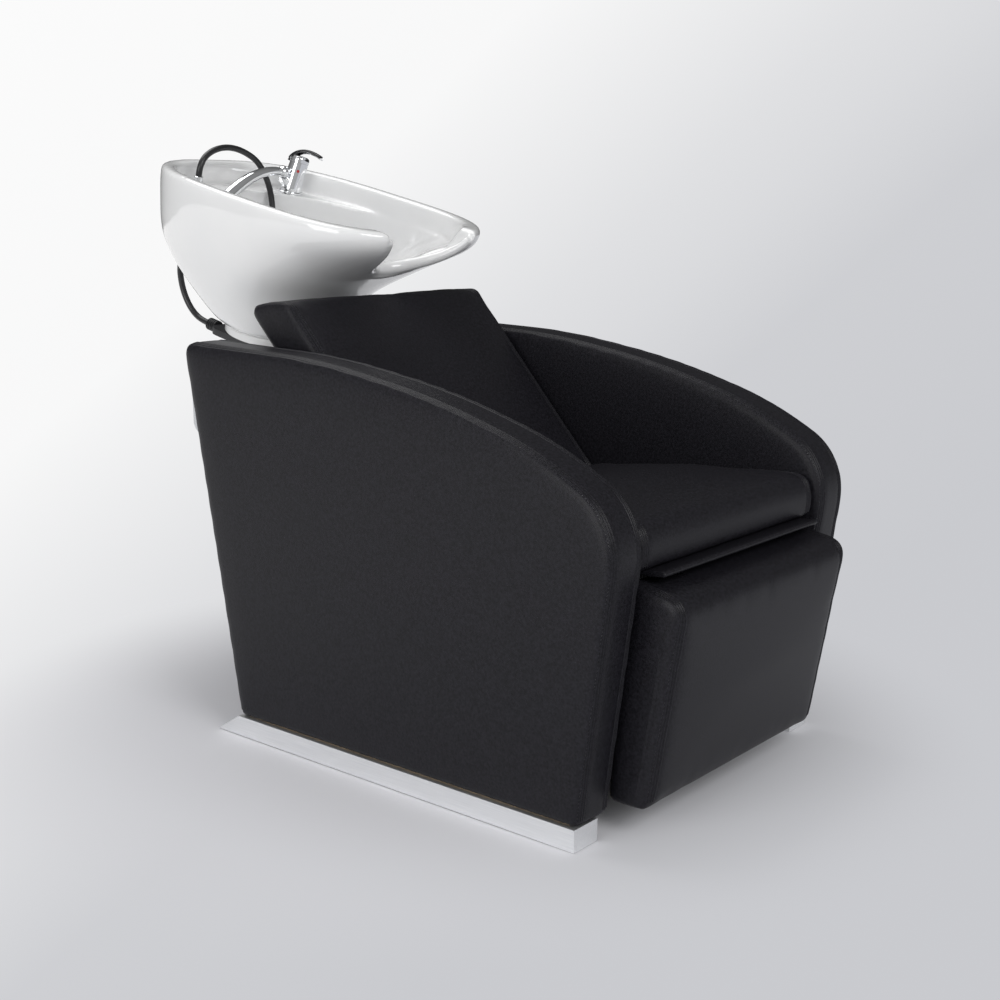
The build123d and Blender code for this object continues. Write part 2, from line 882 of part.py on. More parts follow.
def rear_cover():
    """Moulded cover behind the seat, open to the front and slotted for the tube, fork and post."""
    top = support_tube_top + seat_gap + cover_wall
    outline = (
        (cover_front_y, cover_bottom_z), (cover_front_y, top), (cover_rear_y, top), (cover_rear_y, cover_bottom_z),
    )
    outer = bar(across(outline, (0, 0, cover_corner_radius, cover_corner_radius)), -cover_half_width, cover_half_width)
    upright_edges = outer.faces().sort_by(Axis.X)[0].edges() + outer.faces().sort_by(Axis.X)[-1].edges()
    rounded = [edge for edge in upright_edges if edge.center().Y > cover_front_y + seat_gap]
    outer = fillet(rounded, panel_edge_radius)
    half = cover_half_width - cover_wall
    inner_outline = (
        (cover_front_y - overrun, cover_bottom_z + cover_wall), (cover_front_y - overrun, top - cover_wall),
        (cover_rear_y - cover_wall, top - cover_wall), (cover_rear_y - cover_wall, cover_bottom_z + cover_wall),
    )
    inner_radius = cover_corner_radius - cover_wall
    inner = bar(across(inner_outline, (0, 0, inner_radius, inner_radius)), -half, half)
    slot_half = fork_bar_inner + fork_bar_thickness + panel_edge_radius
    slot = block((-slot_half, slot_half), (cover_rear_y - overrun, cover_rear_y + overrun),
                 (support_tube_z - fork_bar_height / 2 - panel_edge_radius, top + overrun))
    post_half = post_size / 2 + seat_gap
    post_slot = block((-post_half, post_half), (cover_front_y - overrun, support_tube_y + post_half),
                      (cover_bottom_z - overrun, cover_bottom_z + overrun / 2))
    tube_slot = block((-panel_inner_x, panel_inner_x),
                      (cover_front_y - overrun, support_tube_y + support_tube_size / 2 + seat_gap),
                      (support_tube_top - support_tube_size - seat_gap, support_tube_top + seat_gap))
    return outer - inner - slot - post_slot - tube_slot - cover_screw_rods(cover_screw_radius + seat_gap)


def cover_screws():
    """Screws that hold the rear cover to the support tube."""
    top = support_tube_top + seat_gap + cover_wall
    solids = []
    for shank, side in zip(cover_screw_rods(cover_screw_radius), (-1, 1)):
        head = upright(cover_screw_head_radius, top, top + cover_screw_head,
                       side * cover_screw_spacing / 2, support_tube_y)
        solids.append(shank + head)
    return group(solids)


# Basin

def egg(share, grow=0):
    """A level section of the basin: a rounded outline, squarer at the rear than at the front."""
    level, half, middle, front, rear, front_power, rear_power = share
    half = half * basin_half_width + grow
    middle = middle * basin_rear
    front = front * basin_front + middle + grow
    rear = rear * basin_rear - middle + grow
    points = []
    for index in range(section_points):
        turn = 2 * math.pi * index / section_points
        behind = math.sin(turn) >= 0
        power = rear_power if behind else front_power
        reach = rear if behind else front
        spread = abs(math.cos(turn) / half) ** power + abs(math.sin(turn) / reach) ** power
        radius = spread ** (-1 / power)
        points.append((radius * math.cos(turn), middle + radius * math.sin(turn)))
    return Pos(0, 0, -level * basin_depth) * make_face(Spline(*points, periodic=True))


def bowl_space(grow=0):
    """The inside of the bowl below the deck."""
    return loft([egg(share, grow) for share in bowl_share])


def service_space():
    """Open space under the deck, around the wall of the bowl."""
    space = loft([egg(share) for share in service_share])
    space -= block((-basin_half_width, basin_half_width), (-basin_front, service_front), (-basin_depth, 0))
    space -= bowl_space(basin_wall)
    mouth = block((-service_half_width, service_half_width), (basin_rear / 2, basin_rear + overrun),
                  (-service_bottom, -service_top))
    mouth = fillet(mouth.edges().filter_by(Axis.Y), service_corner_radius)
    return space + (mouth - bowl_space(basin_wall))


def basin():
    """Glazed ceramic basin with a neck notch, a sunk deck and an open back."""
    body = loft([egg(share) for share in hull_share])
    body -= loft([egg(share) for share in tray_share])
    body -= bowl_space()
    notch_length = basin_front + notch_front_reach - notch_rear
    notch_middle = -(basin_front + notch_front_reach + notch_rear) / 2
    body -= Pos(0, notch_middle, 0) * Rot(90, 0, 0) * Cylinder(notch_radius, notch_length)
    rim = [edge for edge in body.edges() if edge.bounding_box().size.Z < seat_gap
           and abs(edge.center().Z) < seat_gap]
    body = fillet(rim, basin_rim_radius)
    body -= service_space()
    body -= upright(foot_recess_radius, -basin_depth - overrun, foot_recess_depth - basin_depth, 0, foot_ring_centre)
    body -= upright(drain_radius, -basin_depth, 0, 0, foot_ring_centre)
    body -= upright(mixer_shank_radius + seat_gap, -deck_underside - overrun, 0, mixer_x, mixer_v)
    body -= upright(mixer_nut_radius + seat_gap, -deck_underside - overrun / 2, -deck_underside, mixer_x, mixer_v)
    body -= upright(guide_radius + seat_gap, -deck_underside - overrun, 0, guide_x, guide_v)
    return basin_frame * body


def basin_collar():
    """Ring between the basin and the tilt plate."""
    low, high = plate_top, -basin_depth
    ring = upright(foot_ring_radius, low, high, 0, foot_ring_centre)
    ring = fillet(ring.edges().filter_by(GeomType.CIRCLE), collar_height / 4)
    ring -= upright(collar_inner_radius, low, high, 0, foot_ring_centre)
    ring -= plate_screw_rods(plate_screw_radius + seat_gap)
    return basin_frame * ring


def plate_screw_rods(radius):
    """Rods along the screws through the tilt plate and the collar, in the basin's frame."""
    low = plate_top - tilt_plate_thickness
    high = low + plate_screw_length
    reach = plate_screw_spacing / 2
    places = ((-reach, 0), (reach, 0), (0, -reach), (0, reach))
    return [upright(radius, low, high, x, foot_ring_centre + v) for x, v in places]


def plate_screws():
    low = plate_top - tilt_plate_thickness
    reach = plate_screw_spacing / 2
    places = ((-reach, 0), (reach, 0), (0, -reach), (0, reach))
    solids = []
    for shank, (x, v) in zip(plate_screw_rods(plate_screw_radius), places):
        head = upright(plate_screw_head_radius, low - plate_screw_head, low, x, foot_ring_centre + v)
        solids.append(basin_frame * (shank + head))
    return group(solids)


def tilt_plate():
    """Black plate under the collar with two lugs for the pivot pins."""
    low = plate_top - tilt_plate_thickness
    plate = extrude(RectangleRounded(tilt_plate_size, tilt_plate_size, tilt_plate_radius), tilt_plate_thickness)
    plate = Pos(0, foot_ring_centre, low) * plate
    for side in (-1, 1):
        near, far = side * lug_inner, side * (lug_inner + lug_thickness)
        low_x, high_x = min(near, far), max(near, far)
        plate += block((low_x, high_x), (foot_ring_centre - lug_radius, foot_ring_centre + lug_radius),
                       (-pivot_drop, low))
        plate += rod(lug_radius, low_x, high_x, foot_ring_centre, -pivot_drop)
        plate -= rod(pivot_radius + snug_gap, low_x, high_x, foot_ring_centre, -pivot_drop)
    plate -= upright(tilt_plate_hole - lug_thickness, low - overrun / 2, plate_top, 0, foot_ring_centre)
    return basin_frame * (plate - plate_screw_rods(plate_screw_radius + seat_gap))


def tilt_pin(side):
    """Pivot pin through a lug and a fork bar. The right one is bored for the lock's stud."""
    outer = fork_bar_inner + fork_bar_thickness + seat_gap
    pin = rod(pivot_radius, side * pivot_inner_reach, side * outer, pivot_y, pivot_z)
    pin += rod(pivot_head_radius, side * pivot_inner_reach, side * (lug_inner - seat_gap), pivot_y, pivot_z)
    if side < 0:
        pin -= rod(lock_stud_radius + running_gap, side * (outer - lock_stud_length - seat_gap),
                   side * outer, pivot_y, pivot_z)
    return pin


def tilt_pins():
    return group(both_sides(tilt_pin))


def tilt_washers():
    """Friction washers between the lugs and the fork bars."""
    solids = []
    for side in (-1, 1):
        near = side * (lug_inner + lug_thickness + seat_gap)
        far = side * (fork_bar_inner - seat_gap)
        disc = rod(pivot_washer_radius, near, far, pivot_y, pivot_z)
        solids.append(disc - rod(pivot_radius + snug_gap, near, far, pivot_y, pivot_z))
    return group(solids)


def tilt_lock():
    """Clamp lever on the right end of the tilt pivot."""
    near = -(fork_bar_inner + fork_bar_thickness + 2 * seat_gap)
    far = near - lock_hub_length
    hub = rod(lock_hub_radius, near, far, pivot_y, pivot_z)
    stud = rod(lock_stud_radius, near, near + lock_stud_length, pivot_y, pivot_z)
    middle = (near + far) / 2
    arm = upright(lock_arm_radius, pivot_z - lock_arm_length, pivot_z, middle, pivot_y)
    grip = upright(lock_grip_radius, pivot_z - lock_arm_length - lock_grip_length / 2,
                   pivot_z - lock_arm_length + lock_grip_length / 2, middle, pivot_y)
    grip = fillet(grip.edges().filter_by(GeomType.CIRCLE), lock_grip_radius / 2)
    return hub + stud + arm + grip


# Waste

def waste_flange():
    """Chrome flange in the bowl with its threaded body."""
    floor = -bowl_depth
    part = upright(waste_flange_radius, floor, floor + waste_flange_height, 0, foot_ring_centre)
    part += upright(waste_body_radius, floor - waste_body_length, floor, 0, foot_ring_centre)
    part -= upright(waste_bore_radius, floor - waste_body_length, floor + waste_flange_height, 0, foot_ring_centre)
    return basin_frame * part


def waste_strainer():
    """Cup strainer with holes and a knob, which lifts out."""
    floor = -bowl_depth
    top = floor + waste_flange_height + seat_gap + strainer_wall
    cup = upright(strainer_radius, top - strainer_height, top)
    cup += upright(waste_bore_radius + strainer_wall, top - strainer_wall, top)
    cup -= upright(strainer_radius - strainer_wall, top - strainer_height + strainer_wall, top)
    cup += upright(strainer_knob_radius, top - strainer_height, top + strainer_knob_height)
    for index in range(strainer_hole_count):
        turn = 2 * math.pi * index / strainer_hole_count
        cup -= upright(strainer_hole_radius, top - 2 * strainer_height, top,
                       strainer_hole_ring * math.cos(turn), strainer_hole_ring * math.sin(turn))
    return basin_frame * Pos(0, foot_ring_centre, 0) * cup


def waste_nut():
    """Nut that clamps the waste under the basin."""
    high = foot_recess_depth - basin_depth - seat_gap
    low = high - waste_nut_height
    nut = extrude(RegularPolygon(waste_nut_radius, 6), waste_nut_height)
    nut = Pos(0, foot_ring_centre, low) * nut
    return basin_frame * (nut - upright(waste_body_radius + snug_gap, low, high, 0, foot_ring_centre))


def tailpipe():
    """Waste pipe that leaves the unit downwards, with a bead that stops the drain hose."""
    high = -bowl_depth - waste_body_length - seat_gap
    low = high - tail_length
    stop = low + tail_free_length
    pipe = upright(tail_radius, low, high, 0, foot_ring_centre)
    pipe += upright(tail_bead_radius, stop, stop + tail_bead_length, 0, foot_ring_centre)
    return basin_frame * (pipe - upright(tail_bore_radius, low, high, 0, foot_ring_centre))


def tail_nut():
    """Coupling nut between the waste and the tailpipe."""
    middle = -bowl_depth - waste_body_length
    low, high = middle - tail_nut_height / 2, middle + tail_nut_height / 2
    nut = upright(tail_nut_radius, low, high, 0, foot_ring_centre)
    nut = chamfer(nut.edges().filter_by(GeomType.CIRCLE), tail_nut_height / 8)
    nut -= upright(waste_body_radius + snug_gap, low, high, 0, foot_ring_centre)
    return basin_frame * nut


# Mixer

def mixer_ring():
    """Flat ring between the deck and the mixer."""
    ring = upright(mixer_ring_radius, -deck_depth, mixer_ring_height - deck_depth, mixer_x, mixer_v)
    top = ring.edges().filter_by(GeomType.CIRCLE).sort_by(Axis.Z)[-1]
    ring = fillet(top, mixer_ring_height / 2)
    ring -= upright(mixer_shank_radius + snug_gap, -deck_depth, mixer_ring_height, mixer_x, mixer_v)
    return basin_frame * ring


def mixer_body():
    """Leaning body, its spout branch and the shank through the deck."""
    level = mixer_ring_height - deck_depth
    cone = Cone(mixer_foot_radius, mixer_top_radius, mixer_height)
    cone = mixer_frame * Pos(0, 0, mixer_height / 2) * cone
    base = upright(mixer_foot_radius, level, level + mixer_ring_height, mixer_x, mixer_v)
    shank = upright(mixer_shank_radius, -deck_depth - mixer_shank_length, level, mixer_x, mixer_v)
    branch_top = Vector(ball_x, ball_v, ball_height - deck_depth - ball_radius + seat_gap)
    branch_foot = Vector(mixer_x, mixer_v, level + mixer_ring_height)
    run = branch_top - branch_foot
    branch = Plane(branch_foot, z_dir=run) * Pos(0, 0, run.length / 2) * Cylinder(branch_radius, run.length)
    body = basin_frame * (base + shank + branch) + cone
    seat = basin_frame * Pos(ball_x, ball_v, ball_height - deck_depth) * Sphere(ball_radius + seat_gap)
    below = basin_frame * upright(mixer_ring_radius, level - mixer_height, level, mixer_x, mixer_v)
    keep = basin_frame * upright(mixer_shank_radius, level - mixer_height, level, mixer_x, mixer_v)
    pocket = mixer_frame * upright(cartridge_radius + snug_gap, mixer_height - cartridge_depth, mixer_height)
    bores = basin_frame * Compound(children=inlet_rods(inlet_radius + snug_gap, mixer_shank_length))
    return body - seat - (below - keep) - pocket - bores


def inlet_rods(radius, depth):
    """Two inlet tails, from inside the shank down through the service space."""
    low = -deck_depth - mixer_shank_length
    return [upright(radius, low, low + depth, mixer_x + way * inlet_spacing / 2, mixer_v) for way in (-1, 1)]


def inlet_tail(way):
    """One copper inlet tail with its union nut."""
    top = -deck_depth - mixer_shank_length + mixer_nut_height
    low = top - inlet_length
    x = mixer_x + way * inlet_spacing / 2
    pipe = upright(inlet_radius, low, top, x, mixer_v)
    pipe += upright(inlet_nut_radius, low, low + inlet_nut_height, x, mixer_v)
    return basin_frame * (pipe - upright(inlet_bore_radius, low, top, x, mixer_v))


def mixer_nut():
    """Nut that clamps the mixer under the deck."""
    high = -deck_underside - seat_gap
    low = high - mixer_nut_height
    nut = Pos(mixer_x, mixer_v, low) * extrude(RegularPolygon(mixer_nut_radius, 6), mixer_nut_height)
    return basin_frame * (nut - upright(mixer_shank_radius + snug_gap, low, high, mixer_x, mixer_v))


def cartridge():
    """Ceramic disc cartridge in the top of the body."""
    body = upright(cartridge_radius, mixer_height - cartridge_depth, mixer_height)
    body += upright(cartridge_stem_radius, mixer_height, mixer_height + cartridge_stem_height)
    return mixer_frame * body


def lever_blade(half_width, thickness, lift, start, finish):
    """A curved blade that arches over the cap and thins towards its tip."""
    top = mixer_height + lever_cap_height
    line = Spline(*[(0, -reach * lever_length, top + height * lever_cap_height) for reach, height in lever_line_share])
    sections = []
    for index in range(lever_stations):
        share = start + (finish - start) * index / (lever_stations - 1)
        slim = 1 - share * lever_taper_share
        place = Plane(origin=line @ share, x_dir=(1, 0, 0), z_dir=line % share)
        sections.append(place * Pos(0, lift) * Ellipse(half_width * slim, thickness * slim / 2))
    return loft(sections)


def full_blade():
    """The lever's own blade, from behind the cap to its tip."""
    return lever_blade(lever_half_width, lever_thickness, -lever_thickness / 2, 0, 1)


def mixer_lever():
    """Cap and lever of the mixer, bored wide enough to tilt on the cartridge's stem."""
    cap = upright(lever_cap_radius, mixer_height + seat_gap, mixer_height + lever_cap_height)
    top = cap.edges().filter_by(GeomType.CIRCLE).sort_by(Axis.Z)[-1]
    cap = fillet(top, lever_cap_height / 2)
    bore = upright(cartridge_stem_radius + lever_bore_gap, mixer_height,
                   mixer_height + cartridge_stem_height + lever_bore_gap)
    below = upright(mixer_top_radius + seat_gap, 0, mixer_height + seat_gap)
    return mixer_frame * (cap + full_blade() - bore - below)


def lever_inlay():
    """Dark grip strip on top of the lever."""
    strip = lever_blade(lever_half_width * inlay_width_share, lever_thickness,
                        inlay_thickness - lever_thickness / 2, *inlay_ends_share)
    cap = upright(lever_cap_radius, mixer_height, mixer_height + lever_cap_height)
    return mixer_frame * (strip - full_blade() - cap)


def marker_dot():
    """Small coloured dot on the front of the mixer body."""
    aim = Pos(0, 0, mixer_height * marker_height_share) * Rot(0, 0, -marker_turn) * Rot(90, 0, 0)
    reach = mixer_top_radius + marker_thickness
    inner = mixer_frame * Pos(0, 0, mixer_height / 2) * Cone(mixer_foot_radius, mixer_top_radius, mixer_height)
    return mixer_frame * aim * upright(marker_radius, 0, reach) - inner


def spout_point(share):
    """A point on the middle line of the spout, in the basin's frame."""
    x = ball_x - spout_reach * share
    v = ball_v - spout_side * share ** 2
    level = ball_height - deck_depth
    level += spout_rise * math.sin(math.pi * share) - spout_drop * share ** spout_drop_power
    return Vector(x, v, level)


def spout_plane(share):
    """The plane square to the spout's middle line."""
    step = 1 / spout_stations ** 2
    run = spout_point(share + step) - spout_point(share - step) if share > 0 else Vector(-1, 0, 0)
    return Plane(origin=spout_point(share), x_dir=(0, 1, 0), z_dir=run)


def spout_radius(share):
    return spout_root_radius + (spout_mouth_radius - spout_root_radius) * share


def spout():
    """Swivel spout: a ball, then a curved tube that widens to its mouth."""
    sections = []
    for index in range(spout_stations + 1):
        share = index / spout_stations
        sections.append(spout_plane(share) * Circle(spout_radius(share)))
    tube = loft(sections)
    ball = Pos(ball_x, ball_v, ball_height - deck_depth) * Sphere(ball_radius)
    mouth = spout_plane(1) * Pos(0, 0, -aerator_depth / 2)
    recess = mouth * Cylinder(spout_mouth_radius - aerator_wall, aerator_depth + seat_gap)
    return basin_frame * (ball + tube - recess)


def spout_aerator():
    """Perforated insert in the mouth of the spout."""
    radius = spout_mouth_radius - aerator_wall - snug_gap
    disc = Cylinder(radius, aerator_depth)
    for ring, count in rose_hole_share:
        for index in range(count):
            turn = 2 * math.pi * index / count
            reach = ring * radius
            disc -= Pos(reach * math.cos(turn), reach * math.sin(turn), 0) * Cylinder(rose_hole_radius / 2, overrun)
    return basin_frame * (spout_plane(1) * (Pos(0, 0, -aerator_depth / 2) * disc))


# Hose guide, hand spray and collar

def hose_guide():
    """Chrome sleeve in the deck that the hose runs through."""
    sleeve = upright(guide_radius, -deck_depth - guide_shank_length, guide_height - deck_depth, guide_x, guide_v)
    sleeve = chamfer(sleeve.edges().filter_by(GeomType.CIRCLE).sort_by(Axis.Z)[-1], guide_flange_height / 4)
    flange = upright(guide_flange_radius, -deck_depth, guide_flange_height - deck_depth, guide_x, guide_v)
    return basin_frame * (sleeve + flange)


def guide_nut():
    """Nut that clamps the hose guide under the deck."""
    high = -deck_underside - seat_gap
    low = high - guide_nut_height
    nut = Pos(guide_x, guide_v, low) * extrude(RegularPolygon(guide_nut_radius, 6), guide_nut_height)
    return basin_frame * (nut - upright(guide_radius + snug_gap, low, high, guide_x, guide_v))


def hose_collar():
    """Ribbed collar on the rear edge of the tilt plate, where the hose ends."""
    front = foot_ring_centre + tilt_plate_size / 2
    level = plate_top - tilt_plate_thickness / 2
    along = Pos(collar_clamp_x, front, level) * Rot(-90, 0, 0)
    collar = upright(collar_clamp_radius, 0, collar_clamp_length)
    step = collar_clamp_length / collar_clamp_ribs
    for index in range(collar_clamp_ribs):
        low = step * (index + 1 / 4)
        collar += upright(collar_clamp_radius + collar_rib_height, low, low + step / 2)
    return basin_frame * along * collar


def spray_frame():
    """Frame of the hand spray, from the end of its hose along its handle."""
    place = Pos(spray_tail_x, spray_tail_v, -spray_tail_drop) * Rot(0, 0, spray_turn) * Rot(90 - spray_pitch, 0, 0)
    return basin_frame * place


def hose_nut():
    """Fluted nut between the hose and the hand spray."""
    nut = upright(spray_nut_radius, 0, spray_nut_length)
    return spray_frame() * chamfer(nut.edges().filter_by(GeomType.CIRCLE), spray_nut_radius / 6)


def hand_spray():
    """Handle and head of the hand spray, which lies in the bowl."""
    low = spray_nut_length + seat_gap
    high = low + spray_handle_length
    handle = Pos(0, 0, (low + high) / 2) * Cone(spray_handle_radius * spray_handle_taper_share, spray_handle_radius, high - low)
    head = Pos(0, 0, high) * Rot(90, 0, 0) * Cylinder(spray_head_radius, spray_head_height)
    head = fillet(head.edges().filter_by(GeomType.CIRCLE), spray_head_height / 5)
    seat = Pos(0, -spray_head_height / 2, high) * Rot(90, 0, 0) * Cylinder(rose_radius + seat_gap, 2 * rose_height)
    return spray_frame() * (handle + head - seat)


def spray_rose():
    """Perforated face of the hand spray."""
    rose = Cylinder(rose_radius, rose_height)
    for ring, count in rose_hole_share:
        for index in range(count):
            turn = 2 * math.pi * index / count
            reach = ring * rose_radius
            rose -= Pos(reach * math.cos(turn), reach * math.sin(turn), 0) * Cylinder(rose_hole_radius, overrun)
    top = spray_nut_length + seat_gap + spray_handle_length
    depth = spray_head_height / 2 - rose_height / 2
    return spray_frame() * Pos(0, -depth, top) * Rot(90, 0, 0) * rose


def hose_tube(name, route):
    """A tube along straight runs joined by tangent arcs, each as large as its runs allow."""
    points = [Vector(*point) for point in route]
    radii = []
    for before, here, after in zip(points, points[1:], points[2:]):
        first, second = here - before, after - here
        turn = math.radians(first.get_angle(second))
        radii.append(hose_arc_share * min(first.length, second.length) / math.tan(turn / 2))
    path = FilletPolyline(*points, radius=radii)
    tube = sweep(Plane(points[0], z_dir=points[1] - points[0]) * Circle(hose_radius), path=path)
    share = tube.volume / (math.pi * hose_radius ** 2 * path.length)
    print(name, "radii", [round(radius) for radius in radii], "length", round(path.length), "volume", round(share, 3))
    return tube


def pieces():
    """Every rigid piece by its node name, before the unit is centred."""
    made = {}
    for side, word in ((-1, "right"), (1, "left")):
        made[f"foot_rail_{word}"] = foot_rail(side)
        made[f"arm_core_{word}"] = arm_core(side)
        made[f"arm_cover_{word}"] = arm_cover(side)
    made["rail_screws"] = rail_screws()
    made["floor_glides"] = floor_glides()
    for name in tube_places():
        made[name] = cross_tubes(name)
    made["cross_bolts"] = cross_bolts()
    made["board_screws"] = board_screws()
    made["seat_cushion"] = seat_cushion()
    made["seat_flap"] = seat_flap()
    made["seat_board"] = seat_board()
    made["backrest_cushion"] = backrest_cushion()
    made["backrest_board"] = backrest_board()
    made["legrest_cushion"] = legrest_cushion()
    made["legrest_core"] = legrest_core()
    made["hinge_pins"] = hinge_pins()
    made["hinge_arms"] = hinge_arms()
    made["friction_washers"] = friction_washers()
    made["support_tube"] = support_tube()
    made["support_post"] = support_post()
    made["floor_plate"] = floor_plate()
    made["tilt_fork"] = tilt_fork()
    made["rear_cover"] = rear_cover()
    made["cover_screws"] = cover_screws()
    made["basin"] = basin()
    made["basin_collar"] = basin_collar()
    made["tilt_plate"] = tilt_plate()
    made["plate_screws"] = plate_screws()
    made["tilt_pins"] = tilt_pins()
    made["tilt_washers"] = tilt_washers()
    made["tilt_lock"] = tilt_lock()
    made["waste_flange"] = waste_flange()
    made["waste_strainer"] = waste_strainer()
    made["waste_nut"] = waste_nut()
    made["tail_nut"] = tail_nut()
    made["tailpipe"] = tailpipe()
    made["mixer_ring"] = mixer_ring()
    made["mixer_body"] = mixer_body()
    made["mixer_nut"] = mixer_nut()
    made["mixer_cartridge"] = cartridge()
    made["mixer_lever"] = mixer_lever()
    made["lever_inlay"] = lever_inlay()
    made["marker_dot"] = marker_dot()
    made["inlet_tail_hot"] = inlet_tail(-1)
    made["inlet_tail_cold"] = inlet_tail(1)
    made["spout"] = spout()
    made["spout_aerator"] = spout_aerator()
    made["hose_guide"] = hose_guide()
    made["guide_nut"] = guide_nut()
    made["hose_collar"] = hose_collar()
    made["hose_nut"] = hose_nut()
    made["hand_spray"] = hand_spray()
    made["spray_rose"] = spray_rose()
    return made


def centre_shift(made):
    """How far the unit moves along Y so that its origin lies under its middle."""
    boxes = [shape.bounding_box() for shape in made.values()]
    return -(min(box.min.Y for box in boxes) + max(box.max.Y for box in boxes)) / 2


def report_places(shift):
    """Prints the joint and mount places in metres, for the record."""
    ball = (basin_frame * Location((ball_x, ball_v, ball_height - deck_depth))).position
    stem = (mixer_frame * Location((0, 0, mixer_height))).position
    waste = (basin_frame * Location((0, foot_ring_centre, -bowl_depth))).position
    outlet_level = -bowl_depth - waste_body_length - seat_gap - tail_length
    outlet = (basin_frame * Location((0, foot_ring_centre, outlet_level))).position
    inlet_level = -deck_depth - mixer_shank_length + mixer_nut_height - inlet_length
    places = {"hinge": Vector(0, hinge_y, hinge_z), "pivot": Vector(0, pivot_y, pivot_z), "ball": ball,
              "stem": stem, "waste": waste, "outlet": outlet}
    for way, word in ((-1, "hot"), (1, "cold")):
        x = mixer_x + way * inlet_spacing / 2
        places[f"inlet_{word}"] = (basin_frame * Location((x, mixer_v, inlet_level))).position
    places["floor_plate"] = Vector(0, support_tube_y, 0)
    for name, place in places.items():
        print(name, [round(value / 1000, 5) for value in (place.X, place.Y + shift, place.Z)])
    print("shift", round(shift, 3))


if __name__ == "__main__":
    os.makedirs("parts", exist_ok=True)
    made = pieces()
    shift = centre_shift(made)
    report_places(shift)
    finished = {name: Pos(0, shift, 0) * shape for name, shape in made.items()}
    finished["spray_hose"] = hose_tube("spray_hose", upper_hose_route)
    finished["loop_hose"] = hose_tube("loop_hose", lower_hose_route)
    for name, shape in finished.items():
        export_step(shape, f"parts/{name}.step")
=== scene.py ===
import json
import math

import bmesh
import bpy
import numpy as np
from bpy.props import FloatProperty, FloatVectorProperty, IntProperty, PointerProperty
from mathutils import Matrix, Vector
from mathutils.bvhtree import BVHTree


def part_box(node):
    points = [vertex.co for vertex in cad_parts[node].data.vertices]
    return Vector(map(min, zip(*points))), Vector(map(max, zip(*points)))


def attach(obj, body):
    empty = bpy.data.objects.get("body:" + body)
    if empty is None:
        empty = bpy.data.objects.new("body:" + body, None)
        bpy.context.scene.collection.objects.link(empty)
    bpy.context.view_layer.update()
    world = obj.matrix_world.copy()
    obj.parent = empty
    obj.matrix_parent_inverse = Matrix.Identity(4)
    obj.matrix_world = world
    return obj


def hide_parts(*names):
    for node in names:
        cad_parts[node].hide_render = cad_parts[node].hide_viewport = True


bl_info = {
    "name": "Salon wash unit",
    "version": (1, 0, 0),
    "blender": (4, 5, 0),
    "location": "View3D > Sidebar > Wash unit",
    "description": "Dresses the wash chair and its ceramic basin around their construction model",
    "category": "Object",
}

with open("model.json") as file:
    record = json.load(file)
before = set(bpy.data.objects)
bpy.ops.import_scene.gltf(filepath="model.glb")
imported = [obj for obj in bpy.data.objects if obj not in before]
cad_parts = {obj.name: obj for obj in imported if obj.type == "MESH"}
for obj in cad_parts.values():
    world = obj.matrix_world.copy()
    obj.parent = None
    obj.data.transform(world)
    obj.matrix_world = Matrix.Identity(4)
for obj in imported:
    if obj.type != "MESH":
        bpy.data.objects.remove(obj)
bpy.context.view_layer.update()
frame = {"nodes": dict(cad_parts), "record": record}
nodes = frame["nodes"]

# Camera that took the photograph
camera_place = (-1.9288, -1.7209, 0.9406)
camera_yaw = -0.8749
camera_pitch = 0.2058
camera_lens = 52.106
camera_sensor = 36.0

# Tilted frame of the basin: its rim lies level in it
rim_middle = Vector((0.0, 0.3684, 0.9542))
rim_tilt = math.radians(12.8)
basin_frame = Matrix.Translation(rim_middle) @ Matrix.Rotation(rim_tilt, 4, "X")

# Routes of the hose
hose_diameter = 0.012
upper_hose_route = (
    (-0.100, 0.56618, 0.98175), (-0.100, 0.5631, 0.9954), (-0.093, 0.561, 1.012), (-0.079, 0.562, 1.024),
    (-0.059, 0.563, 1.033), (-0.033, 0.564, 1.038), (-0.005, 0.565, 1.036), (0.021, 0.566, 1.028),
    (0.046, 0.566, 1.015), (0.061, 0.565, 0.996), (0.067, 0.558, 0.974), (0.064, 0.547, 0.954),
    (0.060, 0.538, 0.932), (0.056, 0.532, 0.908), (0.052, 0.529, 0.884), (0.048, 0.524, 0.860),
    (0.044, 0.518, 0.836), (0.041, 0.510, 0.812), (0.039, 0.501, 0.788), (0.036, 0.486, 0.771),
    (0.034, 0.466, 0.759), (0.0319, 0.444, 0.7552), (0.030, 0.42095, 0.759),
)
lower_hose_route = (
    (-0.100, 0.5775, 0.93195), (-0.100, 0.5828, 0.9086), (-0.100, 0.593, 0.885), (-0.099, 0.607, 0.863),
    (-0.096, 0.624, 0.843), (-0.093, 0.640, 0.822), (-0.089, 0.651, 0.802), (-0.084, 0.656, 0.781),
    (-0.079, 0.656, 0.757), (-0.075, 0.648, 0.733), (-0.072, 0.633, 0.713), (-0.070, 0.6118, 0.6998),
    (-0.070, 0.58745, 0.6943),
)

# Mixer's lever: a point on its axis, and how far beside or above it the black inlay starts, on
# faces that don't point down
lever_axis = (0.13603, 0.53812, 1.01048)
inlay_beside = 0.0200
inlay_above = 0.0125
inlay_facing = -0.35
inlay_colour = (0.010, 0.010, 0.011, 1)

# Cross-section of a twin-stitched seam: distance across it and height over the leather
seam_profile = (
    (-0.0105, -0.0016), (-0.0085, 0.0005), (-0.0066, 0.0018), (-0.0055, 0.0015), (-0.0046, -0.0002),
    (-0.0037, 0.0015), (-0.0024, 0.0022), (-0.0009, 0.0016), (0.0, -0.0003), (0.0009, 0.0016),
    (0.0024, 0.0022), (0.0037, 0.0015), (0.0046, -0.0002), (0.0055, 0.0015), (0.0066, 0.0018),
    (0.0085, 0.0005), (0.0105, -0.0016),
)
stitch_rows = (-0.0046, 0.0046)

